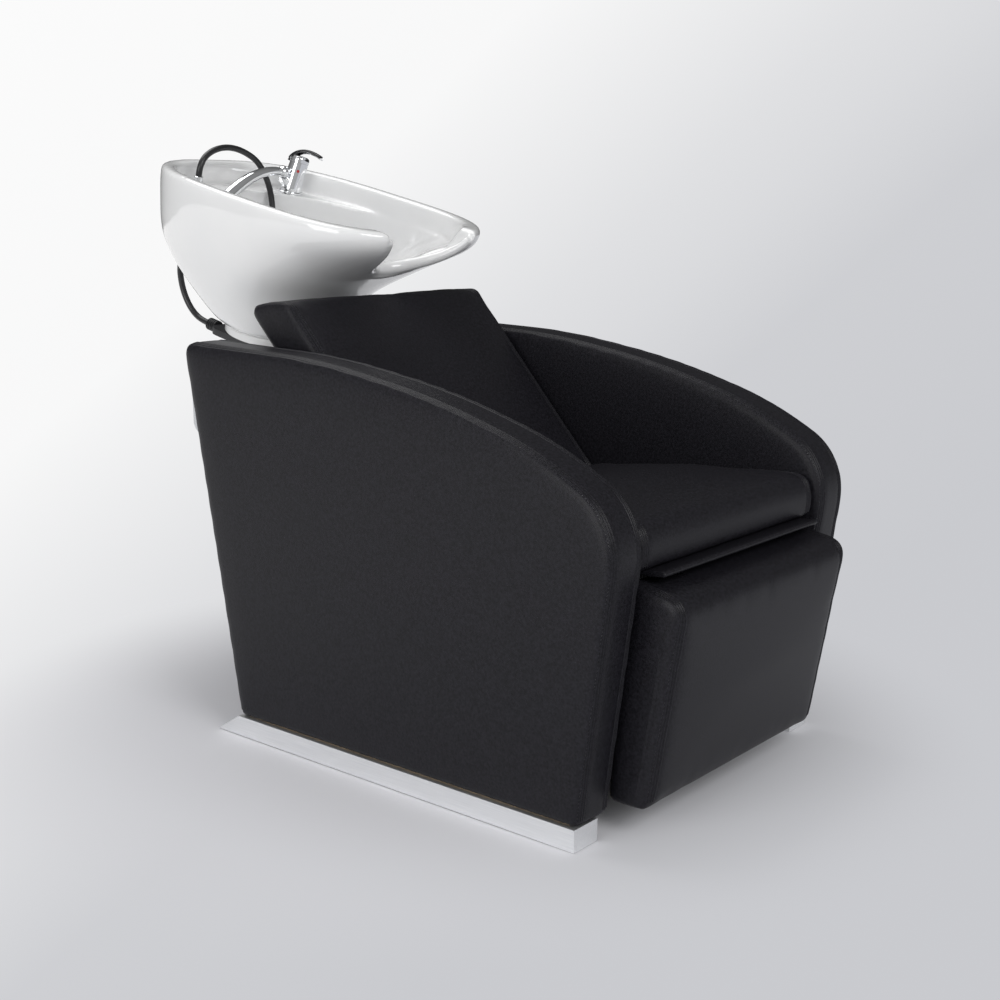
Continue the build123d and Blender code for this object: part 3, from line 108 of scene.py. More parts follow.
# Backdrop: the direction in the picture in which it turns paler, how far along it the shades
# run, and the share of the pale colour at places in between
paler_way = Vector((-0.95, 1.1, 0))
shade_from = -0.30
shade_to = 0.65
shade_stops = ((0.26, 0.087), (0.37, 0.307), (0.446, 0.423), (0.626, 0.819), (0.674, 0.93))

# Square lamps: size and place
lamps = {
    "key": (2.0, (-3.5, -0.2, 1.3)),
    "front": (1.6, (-0.9, -2.9, 2.2)),
    "top": (2.0, (-0.2, 1.2, 3.1)),
}
lamp_target = Vector((0, 0, 0.5))

# Level direction from the unit towards the camera, from where the sky is brighter
camera_side = (-0.77, -0.64, 0)


# Tools shared by the pieces

def only(obj):
    """Makes obj the one selected and active object."""
    bpy.ops.object.select_all(action="DESELECT")
    obj.select_set(True)
    bpy.context.view_layer.objects.active = obj


def add_object(name, data):
    obj = bpy.data.objects.new(name, data)
    bpy.context.scene.collection.objects.link(obj)
    return obj


def apply_modifier(obj, kind, **values):
    """Adds a modifier, sets its values and applies it."""
    only(obj)
    modifier = obj.modifiers.new(kind.title(), kind)
    for key, value in values.items():
        setattr(modifier, key, value)
    bpy.ops.object.modifier_apply(modifier=modifier.name)


def copy_of_node(name, node, hull=False):
    """A merged copy of a construction node's mesh, as one closed shell."""
    obj = add_object(name, nodes[node].data.copy())
    obj.data.materials.clear()
    only(obj)
    bpy.ops.mesh.customdata_custom_splitnormals_clear()
    bpy.ops.object.mode_set(mode="EDIT")
    bpy.ops.mesh.select_all(action="SELECT")
    bpy.ops.mesh.remove_doubles(threshold=1e-5)
    if hull:
        bpy.ops.mesh.convex_hull()
    bpy.ops.mesh.normals_make_consistent(inside=False)
    bpy.ops.object.mode_set(mode="OBJECT")
    return obj


def remesh(obj, voxel):
    """Even small faces all over the piece."""
    only(obj)
    obj.data.remesh_voxel_size = voxel
    bpy.ops.object.voxel_remesh()


def positions(mesh):
    flat = np.zeros(len(mesh.vertices) * 3)
    mesh.vertices.foreach_get("co", flat)
    return flat.reshape(-1, 3)


def directions(mesh):
    flat = np.zeros(len(mesh.vertices) * 3)
    mesh.vertex_normals.foreach_get("vector", flat)
    return flat.reshape(-1, 3)


def place_points(mesh, points):
    mesh.vertices.foreach_set("co", points.ravel())
    mesh.update()


def relax(rows, passes):
    """Evens out a line of points, or of rows of heights, and keeps its two ends."""
    for _ in range(passes):
        rows[1:-1] = (rows[:-2] + 2 * rows[1:-1] + rows[2:]) / 4


def add_node(tree, kind, inputs, **settings):
    """Adds a shader node. An input that is given a socket is linked to it, any other is set."""
    node = tree.nodes.new("ShaderNode" + kind)
    for key, value in settings.items():
        setattr(node, key, value)
    for key, value in inputs.items():
        if isinstance(value, bpy.types.NodeSocket):
            tree.links.new(value, node.inputs[key])
        else:
            node.inputs[key].default_value = value
    return node


def dress(obj, material, body, slot, *replaced):
    """Gives a finished piece its material and body, and hides the nodes that it stands for. The slot it is
    given is not used.
    """
    obj.data.materials.clear()
    obj.data.materials.append(material)
    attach(obj, body)
    if replaced:
        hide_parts(*replaced)
    return obj


def smooth_faces(obj):
    only(obj)
    bpy.ops.object.shade_smooth()


# Upholstery

def swell(obj, pressure, cap):
    """Blows the padding up as cloth under pressure, and lets no point move further than cap."""
    last_frame = 20
    rest = positions(obj.data)
    only(obj)
    cloth = obj.modifiers.new("Cloth", "CLOTH")
    cloth.settings.quality = 4
    cloth.settings.use_pressure = True
    cloth.settings.uniform_pressure_force = pressure
    cloth.settings.effector_weights.gravity = 0
    scene = bpy.context.scene
    for step in range(1, last_frame + 1):
        scene.frame_set(step)
    bpy.ops.object.modifier_apply(modifier=cloth.name)
    scene.frame_set(1)
    moved = positions(obj.data) - rest
    length = np.linalg.norm(moved, axis=1, keepdims=True)
    moved *= np.minimum(1, cap / np.maximum(length, 1e-9))
    place_points(obj.data, rest + moved)


def padded_piece(name, node, looks, cap, voxel, hull=False):
    """A leather cushion over its construction node: remeshed, swollen, smoothed and subdivided,
    then brought back to the node's box."""
    obj = copy_of_node(name, node, hull)
    goal = positions(obj.data)
    remesh(obj, voxel)
    place_points(obj.data, positions(obj.data) - directions(obj.data) * looks.shrink)
    swell(obj, looks.pressure, cap)
    apply_modifier(obj, "SMOOTH", factor=0.5, iterations=looks.smoothing)
    apply_modifier(obj, "SUBSURF", levels=1, render_levels=1)
    points = positions(obj.data)
    scale = np.ptp(goal, axis=0) / np.ptp(points, axis=0)
    place_points(obj.data, (points - points.min(0)) * scale + goal.min(0))
    smooth_faces(obj)
    return obj


def section_path(obj, x, keep):
    """The kept stretch of the line where an upright plane cuts the piece, as even steps."""
    cut = bmesh.new()
    cut.from_mesh(obj.data)
    found = bmesh.ops.bisect_plane(cut, geom=cut.verts[:] + cut.edges[:] + cut.faces[:],
                                   plane_co=(x, 0, 0), plane_no=(1, 0, 0))["geom_cut"]
    edges = {item for item in found if isinstance(item, bmesh.types.BMEdge)}
    longest = []
    while edges:
        edge = edges.pop()
        first, here = edge.verts
        loop = [first.co.copy(), here.co.copy()]
        while here != first:
            following = [item for item in here.link_edges if item in edges]
            if not following:
                break
            edges.remove(following[0])
            here = following[0].other_vert(here)
            loop.append(here.co.copy())
        if len(loop) > len(longest):
            longest = loop
    cut.free()
    count = len(longest)
    flags = [keep(point) for point in longest]
    start = next((index for index in range(count) if flags[index] and not flags[index - 1]), 0)
    stretch = []
    for step in range(count):
        place = (start + step) % count
        if not flags[place]:
            break
        stretch.append(longest[place])
    return even_steps(np.array(stretch)[:, 1:], looks_of().seam_step)


def even_steps(points, step):
    """A smoothed line with points the same step apart."""
    relax(points, 6)
    runs = np.linalg.norm(np.diff(points, axis=0), axis=1)
    along = np.concatenate(([0], np.cumsum(runs)))
    wanted = np.linspace(0, along[-1], max(2, int(along[-1] / step)))
    return np.stack([np.interp(wanted, along, points[:, axis]) for axis in (0, 1)], axis=1)


def outward(path, middle):
    """Unit tangents and outward normals of a line in the Y and Z plane."""
    tangents = np.gradient(path, axis=0)
    tangents /= np.linalg.norm(tangents, axis=1, keepdims=True)
    normals = np.stack((tangents[:, 1], -tangents[:, 0]), axis=1)
    if np.mean(np.sum(normals * (path - middle), axis=1)) < 0:
        normals = -normals
    return tangents, normals


def side_seams(obj, places, keep, body):
    """A seam at each of the places along X, all over the stretch that keep chooses."""
    for x in places:
        seam(obj, x, keep, body, leather_finish(), painted_highlight_thread_finish())


def seam(obj, x, keep, body, leather, thread):
    """A twin-stitched seam over a piece, in the upright plane at x."""
    path = section_path(obj, x, keep)
    points = positions(obj.data)
    middle = (points.min(0) + points.max(0)) / 2
    tangents, normals = outward(path, middle[1:])
    pull_in(obj, x, path)
    surface = surface_heights(obj, x, path, normals)
    name = f"{obj.name}_seam_{seam_side(x, middle[0])}"
    verts, faces = [], []
    width = len(seam_profile)
    for index, (point, normal) in enumerate(zip(path, normals)):
        for column, (across, height) in enumerate(seam_profile):
            up = surface[index, column] + height
            verts.append((x + across, point[0] + normal[0] * up, point[1] + normal[1] * up))
            if index and column:
                corner = index * width + column
                faces.append((corner - width - 1, corner - 1, corner, corner - width))
    ribbon = new_mesh(name, verts, faces)
    face_outwards(ribbon, normals[0])
    smooth_faces(ribbon)
    dress(ribbon, leather, body, "black_leather")
    add_stitches(name + "_stitches", x, path, tangents, normals, surface, body, thread)


def surface_heights(obj, x, path, normals):
    """How high the leather lies over the path, along each line of the seam's profile. Where a ray
    misses the piece, at a cut edge, the profile goes inside, out of sight."""
    reach = 0.03
    hidden = -0.02
    tree = BVHTree.FromObject(obj, bpy.context.evaluated_depsgraph_get())
    surface = np.zeros((len(path), len(seam_profile)))
    for index, (point, normal) in enumerate(zip(path, normals)):
        towards = Vector((0, -normal[0], -normal[1]))
        for column, (across, _) in enumerate(seam_profile):
            origin = Vector((x + across, point[0], point[1])) - towards * reach
            hit = tree.ray_cast(origin, towards, 2 * reach)
            surface[index, column] = reach - hit[3] if hit[0] is not None else hidden
    relax(surface, 4)
    return surface


def seam_side(x, middle):
    """Right or left on a piece in the middle of the unit, inner or outer on one beside it."""
    middle_zone = 0.05
    if abs(middle) < middle_zone:
        return "right" if x < 0 else "left"
    return "inner" if abs(x) < abs(middle) else "outer"


def new_mesh(name, verts, faces):
    mesh = bpy.data.meshes.new(name)
    mesh.from_pydata(verts, [], faces)
    mesh.update()
    return add_object(name, mesh)


def face_outwards(ribbon, normal):
    """Turns an open strip's faces the way of its first outward normal."""
    towards = ribbon.data.polygons[0].normal
    if towards.y * normal[0] + towards.z * normal[1] < 0:
        ribbon.data.flip_normals()


def pull_in(obj, x, path):
    """Draws the leather in along a seam, over a few of the seam's widths. The path is taken in
    blocks, to save memory."""
    reach = 4
    block = 64
    looks = looks_of()
    points = positions(obj.data)
    chosen = np.nonzero(np.abs(points[:, 0] - x) < reach * looks.seam_width)[0]
    spread = points[chosen]
    nearest = np.full(len(chosen), 1.0)
    for start in range(0, len(path), block):
        gap = spread[:, None, 1:] - path[None, start:start + block]
        nearest = np.minimum(nearest, np.linalg.norm(gap, axis=2).min(axis=1))
    distance = np.sqrt(nearest ** 2 + (spread[:, 0] - x) ** 2)
    depth = looks.seam_depth * np.exp(-(distance / looks.seam_width) ** 2)
    points[chosen] -= directions(obj.data)[chosen] * depth[:, None]
    place_points(obj.data, points)


def add_stitches(name, x, path, tangents, normals, surface, body, thread):
    """Rows of small thread stitches in the seam's two grooves."""
    looks = looks_of()
    bpy.ops.object.select_all(action="DESELECT")
    bpy.ops.mesh.primitive_uv_sphere_add(segments=6, ring_count=4, radius=1)
    model = bpy.context.object
    shape = positions(model.data)
    ring = [tuple(face.vertices) for face in model.data.polygons]
    bpy.data.objects.remove(model)
    half = np.array((looks.stitch_radius, looks.stitch_length / 2, looks.stitch_radius))
    pitch = max(1, round(looks.stitch_pitch / looks.seam_step))
    columns = [min(range(len(seam_profile)), key=lambda column: abs(seam_profile[column][0] - row))
               for row in stitch_rows]
    verts, faces = [], []
    for index in range(pitch, len(path) - pitch, pitch):
        tangent = np.array((0, tangents[index][0], tangents[index][1]))
        normal = np.array((0, normals[index][0], normals[index][1]))
        turn = np.stack((np.cross(tangent, normal), tangent, normal))
        for column in columns:
            across, height = seam_profile[column]
            up = surface[index, column] + height + looks.stitch_radius / 2
            centre = np.array((x + across, *(path[index] + normals[index] * up)))
            base = len(verts)
            verts.extend((shape * half) @ turn + centre)
            faces.extend(tuple(corner + base for corner in face) for face in ring)
    stitches = new_mesh(name, [tuple(vert) for vert in verts], faces)
    only(stitches)
    bpy.ops.object.mode_set(mode="EDIT")
    bpy.ops.mesh.select_all(action="SELECT")
    bpy.ops.mesh.normals_make_consistent(inside=False)
    bpy.ops.object.mode_set(mode="OBJECT")
    smooth_faces(stitches)
    dress(stitches, thread, body, "black_leather")


# Finishes

def finish(name, dark, light, roughness, spread=0.05, metallic=0.0, scale=20.0, stretch=(1, 1, 1),
           grain=800.0, depth=0.0001, strength=0.3, coat=0.0):
    """A finish whose colour and roughness wander a little, with a fine raised grain."""
    material = bpy.data.materials.get(name)
    if material:
        return material
    material = bpy.data.materials.new(name)
    material.use_nodes = True
    tree = material.node_tree
    shader = tree.nodes["Principled BSDF"]
    shader.inputs["Metallic"].default_value = metallic
    shader.inputs["Coat Weight"].default_value = coat
    shader.inputs["Coat Roughness"].default_value = 0.05
    place = add_node(tree, "TexCoord", {}).outputs["Object"]
    mapped = add_node(tree, "Mapping", {"Vector": place, "Scale": stretch}).outputs["Vector"]
    mottle = add_node(tree, "TexNoise", {"Vector": mapped, "Scale": scale, "Detail": 4}).outputs["Fac"]
    ramp = add_node(tree, "ValToRGB", {"Fac": mottle})
    low, high = ramp.color_ramp.elements
    low.position, high.position = 0.3, 0.7
    low.color, high.color = (*dark, 1), (*light, 1)
    tree.links.new(ramp.outputs["Color"], shader.inputs["Base Color"])
    limits = {"Value": mottle, "To Min": max(0.0, roughness - spread), "To Max": roughness + spread}
    span = add_node(tree, "MapRange", limits)
    tree.links.new(span.outputs["Result"], shader.inputs["Roughness"])
    fine = add_node(tree, "TexNoise", {"Vector": mapped, "Scale": grain, "Detail": 3}).outputs["Fac"]
    bump = add_node(tree, "Bump", {"Height": fine, "Strength": strength, "Distance": depth})
    tree.links.new(bump.outputs["Normal"], shader.inputs["Normal"])
    return material


def leather_finish():
    """Black leather: a pebbled grain of small cells over a soft unevenness."""
    name = "black leather"
    if bpy.data.materials.get(name):
        return bpy.data.materials[name]
    looks = looks_of()
    base = Vector(looks.leather_colour)
    material = finish(name, base * 0.6, base * 1.5, looks.leather_roughness, 0.08,
                      scale=230, grain=420, depth=0.0004, strength=0.5)
    tree = material.node_tree
    shader = tree.nodes["Principled BSDF"]
    shader.inputs["Specular IOR Level"].default_value = 0.20
    place = node_of_type(tree, "TEX_COORD").outputs["Object"]
    soft = node_of_type(tree, "BUMP").outputs["Normal"]
    cells = add_node(tree, "TexVoronoi", {"Vector": place, "Scale": 520}, feature="DISTANCE_TO_EDGE")
    pebble = add_node(tree, "Bump", {"Height": cells.outputs["Distance"], "Normal": soft,
                                     "Strength": 0.35, "Distance": 0.00025})
    tree.links.new(pebble.outputs["Normal"], shader.inputs["Normal"])
    return material


def node_of_type(tree, kind):
    return next(node for node in tree.nodes if node.type == kind)


# Values of the plain finishes, by the record's material slots
wood_grain = dict(scale=16, stretch=(1, 0.15, 6), grain=300, depth=0.0003)
slot_values = {
    "stainless": dict(name="brushed stainless", dark=(0.90, 0.91, 0.92), light=(0.97, 0.975, 0.98),
                      roughness=0.45, spread=0.07, metallic=1, scale=14, stretch=(40, 1, 40),
                      grain=60, depth=0.00005),
    "stained_plywood": dict(name="black stained plywood", dark=(0.012, 0.012, 0.013),
                            light=(0.03, 0.028, 0.027), roughness=0.6, **wood_grain),
    "plywood": dict(name="pale plywood", dark=(0.42, 0.28, 0.15), light=(0.68, 0.50, 0.30),
                    roughness=0.65, spread=0.08, **wood_grain),
    "black_plastic": dict(name="black plastic", dark=(0.012, 0.012, 0.013),
                          light=(0.024, 0.024, 0.026), roughness=0.38, grain=900),
    "frame_paint": dict(name="black powder coat", dark=(0.018, 0.018, 0.02),
                        light=(0.032, 0.032, 0.035), roughness=0.5, grain=1200, depth=0.0002,
                        strength=0.5),
    "cover_plastic": dict(name="light grey plastic", dark=(0.50, 0.51, 0.53),
                          light=(0.58, 0.59, 0.61), roughness=0.42, grain=1000),
    "ceramic": dict(name="white glaze", dark=(0.78, 0.785, 0.79), light=(0.82, 0.82, 0.82),
                    roughness=0.10, spread=0.04, scale=6, grain=60, strength=0.15, coat=0.6),
    "white_plastic": dict(name="white plastic", dark=(0.74, 0.74, 0.74), light=(0.80, 0.80, 0.80),
                          roughness=0.22, grain=700, depth=0.00005, strength=0.15),
    "chrome": dict(name="polished chrome", dark=(0.80, 0.81, 0.83), light=(0.86, 0.87, 0.88),
                   roughness=0.07, spread=0.03, metallic=1, scale=30, grain=300, depth=0.00002,
                   strength=0.1),
    "brass": dict(name="machined brass", dark=(0.62, 0.46, 0.20), light=(0.76, 0.60, 0.32),
                  roughness=0.28, spread=0.08, metallic=1, grain=500),
    "copper": dict(name="copper pipe", dark=(0.60, 0.30, 0.18), light=(0.74, 0.42, 0.28),
                   roughness=0.26, spread=0.08, metallic=1, grain=400),
    "grey_plastic": dict(name="grey plastic", dark=(0.16, 0.16, 0.17), light=(0.22, 0.22, 0.23),
                         roughness=0.45),
    "red_enamel": dict(name="red enamel", dark=(0.35, 0.01, 0.01), light=(0.45, 0.02, 0.02),
                       roughness=0.15, spread=0.03, coat=0.5),
    "hose_rubber": dict(name="black hose", dark=(0.010, 0.010, 0.011), light=(0.020, 0.020, 0.022),
                        roughness=0.32, spread=0.06, scale=40, grain=700),
}


def slot_finish(slot):
    """The finish of a material slot of the record."""
    return leather_finish() if slot == "black_leather" else finish(**slot_values[slot])


def slot_of(node):
    return next(part["material_slot"] for part in frame["record"]["subparts"] if part["node"] == node)


# Black thread whose colour is raised to grey: the grey is a painted highlight, standing for the light that
# the stitches catch.
def painted_highlight_thread_finish():
    return finish("black thread with painted highlight", (0.07, 0.07, 0.075), (0.14, 0.14, 0.15), 0.35, grain=2500, depth=0.0002)


# Sizes and colours that a user may change

def size_value(name, description, default, **limits):
    return FloatProperty(name=name, description=description, default=default, unit="LENGTH", **limits)


def colour_value(name, description, default):
    return FloatVectorProperty(name=name, description=description, default=default,
                               subtype="COLOR", size=3)


def power_value(name, description, default):
    return FloatProperty(name=name, description=description, default=default, unit="POWER")


class WashUnitLooks(bpy.types.PropertyGroup):
    voxel: size_value("Mesh size", "Face size of the padding before its subdivision", 0.007,
                      min=0.004, max=0.02)
    arm_voxel: size_value("Arm mesh size", "The same for the two large side panels", 0.0085,
                          min=0.004, max=0.02)
    shrink: size_value("Slack", "How far the padding starts inside its final surface", 0.002,
                       min=0.0, max=0.01)
    pressure: FloatProperty(name="Pressure", description="Pressure that swells the padding", default=4.0)
    smoothing: IntProperty(name="Smoothing", description="Passes that relax the leather", default=9, min=0)
    seam_step: size_value("Seam step", "Distance between the seam's cross-sections", 0.003)
    seam_width: size_value("Seam width", "Half width of the pull along a seam", 0.009)
    seam_depth: size_value("Seam depth", "How deep the leather is drawn in at a seam", 0.0022)
    seam_inset: size_value("Seam inset", "Distance of a seam from the piece's side", 0.0125)
    stitch_length: size_value("Stitch length", "Length of one stitch", 0.0044)
    stitch_pitch: size_value("Stitch pitch", "Distance between stitches", 0.006)
    stitch_radius: size_value("Thread radius", "Radius of the thread", 0.0005)
    leather_colour: colour_value("Leather colour", "Middle colour of the leather",
                                 (0.0105, 0.0100, 0.0130))
    leather_roughness: FloatProperty(name="Leather roughness", description="How dull the leather is",
                                     default=0.42, min=0.0, max=1.0)
    seat_lip_voxel: size_value("Seat lip mesh size", "Face size of the lip under the seat", 0.0025,
                               min=0.001, max=0.01)
    glaze_voxel: size_value("Basin mesh size", "Face size of the basin's glazed surface", 0.004,
                            min=0.002, max=0.02)
    lip_radius: size_value("Lip radius", "Radius of the roll round the neck notch", 0.014)
    lip_overhang: size_value("Lip overhang", "How far the roll stands out under the notch", 0.002)
    hose_sides: IntProperty(name="Hose sides", description="Resolution of the hose's round section",
                            default=8)


class WashUnitStage(bpy.types.PropertyGroup):
    floor_half: size_value("Floor half size", "Half the width of the floor", 14.0)
    fade_start: size_value("Fade start", "Where the floor starts to fade", 0.45)
    fade_end: size_value("Fade end", "Where the floor is all backdrop", 1.0)
    floor_colour: colour_value("Floor colour", "Colour of the floor round the unit", (0.70, 0.70, 0.73))
    back_light: colour_value("Backdrop light side", "Backdrop colour, upper left",
                             (0.965, 0.965, 0.965))
    back_dark: colour_value("Backdrop dark side", "Backdrop colour, lower right",
                            (0.585, 0.592, 0.62))
    world_strength: FloatProperty(name="Sky strength", description="Light from the camera's side",
                                  default=0.42)
    world_behind: FloatProperty(name="Sky behind", description="Light from behind the unit", default=0.06)
    key_power: power_value("Key power", "Power of the large lamp beside the unit", 44.0)
    front_power: power_value("Front power", "Power of the lamp in front of the unit", 46.0)
    top_power: power_value("Top power", "Power of the lamp above the basin", 40.0)


def backdrop_shade(tree, view, stage):
    """The backdrop's colour along a view direction: pale at the photograph's upper left, then greyer."""
    turn = Matrix.Rotation(camera_yaw, 3, "Z") @ Matrix.Rotation(math.pi / 2 - camera_pitch, 3, "X")
    unit = add_node(tree, "VectorMath", {0: view}, operation="NORMALIZE").outputs["Vector"]
    slope = add_node(tree, "VectorMath", {0: unit, 1: turn @ paler_way}, operation="DOT_PRODUCT")
    spread = add_node(tree, "MapRange", {"Value": slope.outputs["Value"], "From Min": shade_from,
                                         "From Max": shade_to})
    ramp = add_node(tree, "ValToRGB", {"Fac": spread.outputs["Result"]})
    dark, light = Vector(stage.back_dark), Vector(stage.back_light)
    for position, share in shade_stops:
        stop = ramp.color_ramp.elements.new(position)
        stop.color = (*dark.lerp(light, share), 1)
    ramp.color_ramp.elements[0].color = (*dark, 1)
    ramp.color_ramp.elements[-1].color = (*light, 1)
    return ramp.outputs["Color"]


def looks_of():
    return bpy.context.scene.wash_unit_looks


# Pieces

class WASHUNIT_OT_stage(bpy.types.Operator):
    """Camera, lamps, sky and the pale floor"""
    bl_idname = "wash_unit.stage"
    bl_label = "Stage"

    def execute(self, context):
        stage = context.scene.wash_unit_stage
        context.scene.view_settings.view_transform = "Standard"
        lens = bpy.data.cameras.new("photo_camera")
        lens.lens = camera_lens
        lens.sensor_width = camera_sensor
        camera = add_object("photo_camera", lens)
        camera.location = camera_place
        camera.rotation_euler = (math.pi / 2 - camera_pitch, 0, camera_yaw)
        context.scene.camera = camera
        powers = {"key": stage.key_power, "front": stage.front_power, "top": stage.top_power}
        for name, (size, place) in lamps.items():
            self.lamp(name, powers[name], size, place)
        self.sky(context, stage)
        self.floor(stage)
        return {"FINISHED"}

    def lamp(self, name, power, size, place):
        """A square soft lamp that looks at the unit's middle."""
        data = bpy.data.lights.new(name, "AREA")
        data.energy = power
        data.size = size
        lamp = add_object(name, data)
        lamp.location = place
        aim = lamp_target - Vector(place)
        lamp.rotation_euler = aim.to_track_quat("-Z", "Y").to_euler()

    def sky(self, context, stage):
        """Light that is softer behind the unit, and a pale backdrop for the camera."""
        world = bpy.data.worlds.new("studio")
        context.scene.world = world
        world.use_nodes = True
        tree = world.node_tree
        place = add_node(tree, "TexCoord", {}).outputs["Object"]
        side = add_node(tree, "VectorMath", {0: place, 1: camera_side}, operation="DOT_PRODUCT")
        power = add_node(tree, "MapRange", {"Value": side.outputs["Value"], "From Min": -1,
                                            "To Min": stage.world_behind,
                                            "To Max": stage.world_strength})
        light = tree.nodes["Background"]
        light.inputs["Color"].default_value = (1, 1, 1, 1)
        tree.links.new(power.outputs["Result"], light.inputs["Strength"])
        shown = add_node(tree, "Background", {"Color": backdrop_shade(tree, place, stage)})
        camera_ray = add_node(tree, "LightPath", {}).outputs["Is Camera Ray"]
        mix = add_node(tree, "MixShader", {0: camera_ray, 1: light.outputs["Background"],
                                           2: shown.outputs["Background"]})
        tree.links.new(mix.outputs["Shader"], tree.nodes["World Output"].inputs["Surface"])

    def floor(self, stage):
        """A floor that fades into the backdrop far from the unit."""
        bpy.ops.object.select_all(action="DESELECT")
        bpy.ops.mesh.primitive_grid_add(x_subdivisions=8, y_subdivisions=8, size=2 * stage.floor_half)
        floor = bpy.context.object
        floor.name = "floor"
        material = bpy.data.materials.new("floor")
        material.use_nodes = True
        tree = material.node_tree
        shader = tree.nodes["Principled BSDF"]
        shader.inputs["Base Color"].default_value = (*stage.floor_colour, 1)
        shader.inputs["Roughness"].default_value = 0.9
        shader.inputs["Specular IOR Level"].default_value = 0.1
        place = add_node(tree, "TexCoord", {}).outputs["Object"]
        away = add_node(tree, "VectorMath", {0: place, 1: camera_place}, operation="SUBTRACT")
        shade = backdrop_shade(tree, away.outputs["Vector"], stage)
        glow = add_node(tree, "Emission", {"Color": shade})
        length = add_node(tree, "VectorMath", {0: place}, operation="LENGTH").outputs["Value"]
        fade = add_node(tree, "MapRange", {"Value": length, "From Min": stage.fade_start,
                                           "From Max": stage.fade_end},
                        interpolation_type="SMOOTHSTEP")
        mix = add_node(tree, "MixShader", {0: fade.outputs["Result"], 1: shader.outputs["BSDF"],
                                           2: glow.outputs["Emission"]})
        tree.links.new(mix.outputs["Shader"], tree.nodes["Material Output"].inputs["Surface"])
        floor.data.materials.append(material)


class WASHUNIT_OT_hoses(bpy.types.Operator):
    """The spray hose over the deck and its lower loop behind the basin"""
    bl_idname = "wash_unit.hoses"
    bl_label = "Hoses"

    def execute(self, context):
        upper = self.hose("spray_hose_line", upper_hose_route, "spray_hose")
        lower = self.hose("loop_hose_line", lower_hose_route, "loop_hose")
        return {"FINISHED"}

    def hose(self, name, route, node):
        """One stretch of hose along its route."""
        line = bpy.data.curves.new(name, "CURVE")
        line.dimensions = "3D"
        line.bevel_depth = hose_diameter / 2
        line.bevel_resolution = looks_of().hose_sides
        line.resolution_u = 12
        line.use_fill_caps = True
        spline = line.splines.new("NURBS")
        spline.points.add(len(route) - 1)
        for point, place in zip(spline.points, route):
            point.co = (*place, 1)
        spline.order_u = 3
        spline.use_endpoint_u = True
        hose = add_object(name, line)
        return dress(hose, slot_finish("hose_rubber"), "basin_unit", "hose_rubber", node)


class WASHUNIT_OT_arms(bpy.types.Operator):
    """The two upholstered side panels with their wrap-round bands"""
    bl_idname = "wash_unit.arms"
    bl_label = "Arms"

    def execute(self, context):
        looks = looks_of()
        seamless_foot = 0.008
        for side, word in ((-1, "right"), (1, "left")):
            node = f"arm_cover_{word}"
            arm = padded_piece(f"arm_{word}", node, looks, cap=0.0035, voxel=looks.arm_voxel, hull=True)
            low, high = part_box(node)
            outer = high.x if side > 0 else low.x
            inner = low.x if side > 0 else high.x
            floor = low.z + seamless_foot
            places = (outer - side * looks.seam_inset, inner + side * looks.seam_inset)
            side_seams(arm, places, lambda point: point.z > floor, "chair")
            dress(arm, leather_finish(), "chair", "black_leather", node)
        return {"FINISHED"}


class WASHUNIT_OT_seat(bpy.types.Operator):
    """The seat cushion with its side seams"""
    bl_idname = "wash_unit.seat"
    bl_label = "Seat"

    def execute(self, context):
        looks = looks_of()
        seat = padded_piece("seat_pad", "seat_cushion", looks, cap=0.006, voxel=looks.voxel)
        low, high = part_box("seat_cushion")
        front_bottom = low.z + 0.045
        fall = 0.03
        rear_end = high.y - 0.02

        def keep(point):
            share = (point.y - low.y) / (high.y - low.y)
            return point.z > front_bottom - share * fall and point.y < rear_end

        edge = high.x - looks.seam_inset
        side_seams(seat, (-edge, edge), keep, "chair")
        dress(seat, leather_finish(), "chair", "black_leather", "seat_cushion")
        self.lip(looks)
        return {"FINISHED"}

    def lip(self, looks):
        """The rounded lip under the front of the seat."""
        lip = copy_of_node("seat_lip", "seat_flap")
        remesh(lip, looks.seat_lip_voxel)
        apply_modifier(lip, "SMOOTH", factor=0.5, iterations=6)
        smooth_faces(lip)
        dress(lip, leather_finish(), "chair", slot_of("seat_flap"), "seat_flap")


class WASHUNIT_OT_backrest(bpy.types.Operator):
    """The backrest cushion with its side seams"""
    bl_idname = "wash_unit.backrest"
    bl_label = "Backrest"

    def execute(self, context):
        looks = looks_of()
        back = padded_piece("back_pad", "backrest_cushion", looks, cap=0.005, voxel=looks.voxel, hull=True)
        low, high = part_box("backrest_cushion")
        rear_slope = (high.z - low.z) / (high.y - low.y) * 0.55
        bottom = low.z + 0.03

        def keep(point):
            return point.z - low.z > (point.y - low.y) * rear_slope and point.z > bottom

        edge = high.x - looks.seam_inset
        side_seams(back, (-edge, edge), keep, "chair")
        dress(back, leather_finish(), "chair", "black_leather", "backrest_cushion")
        return {"FINISHED"}


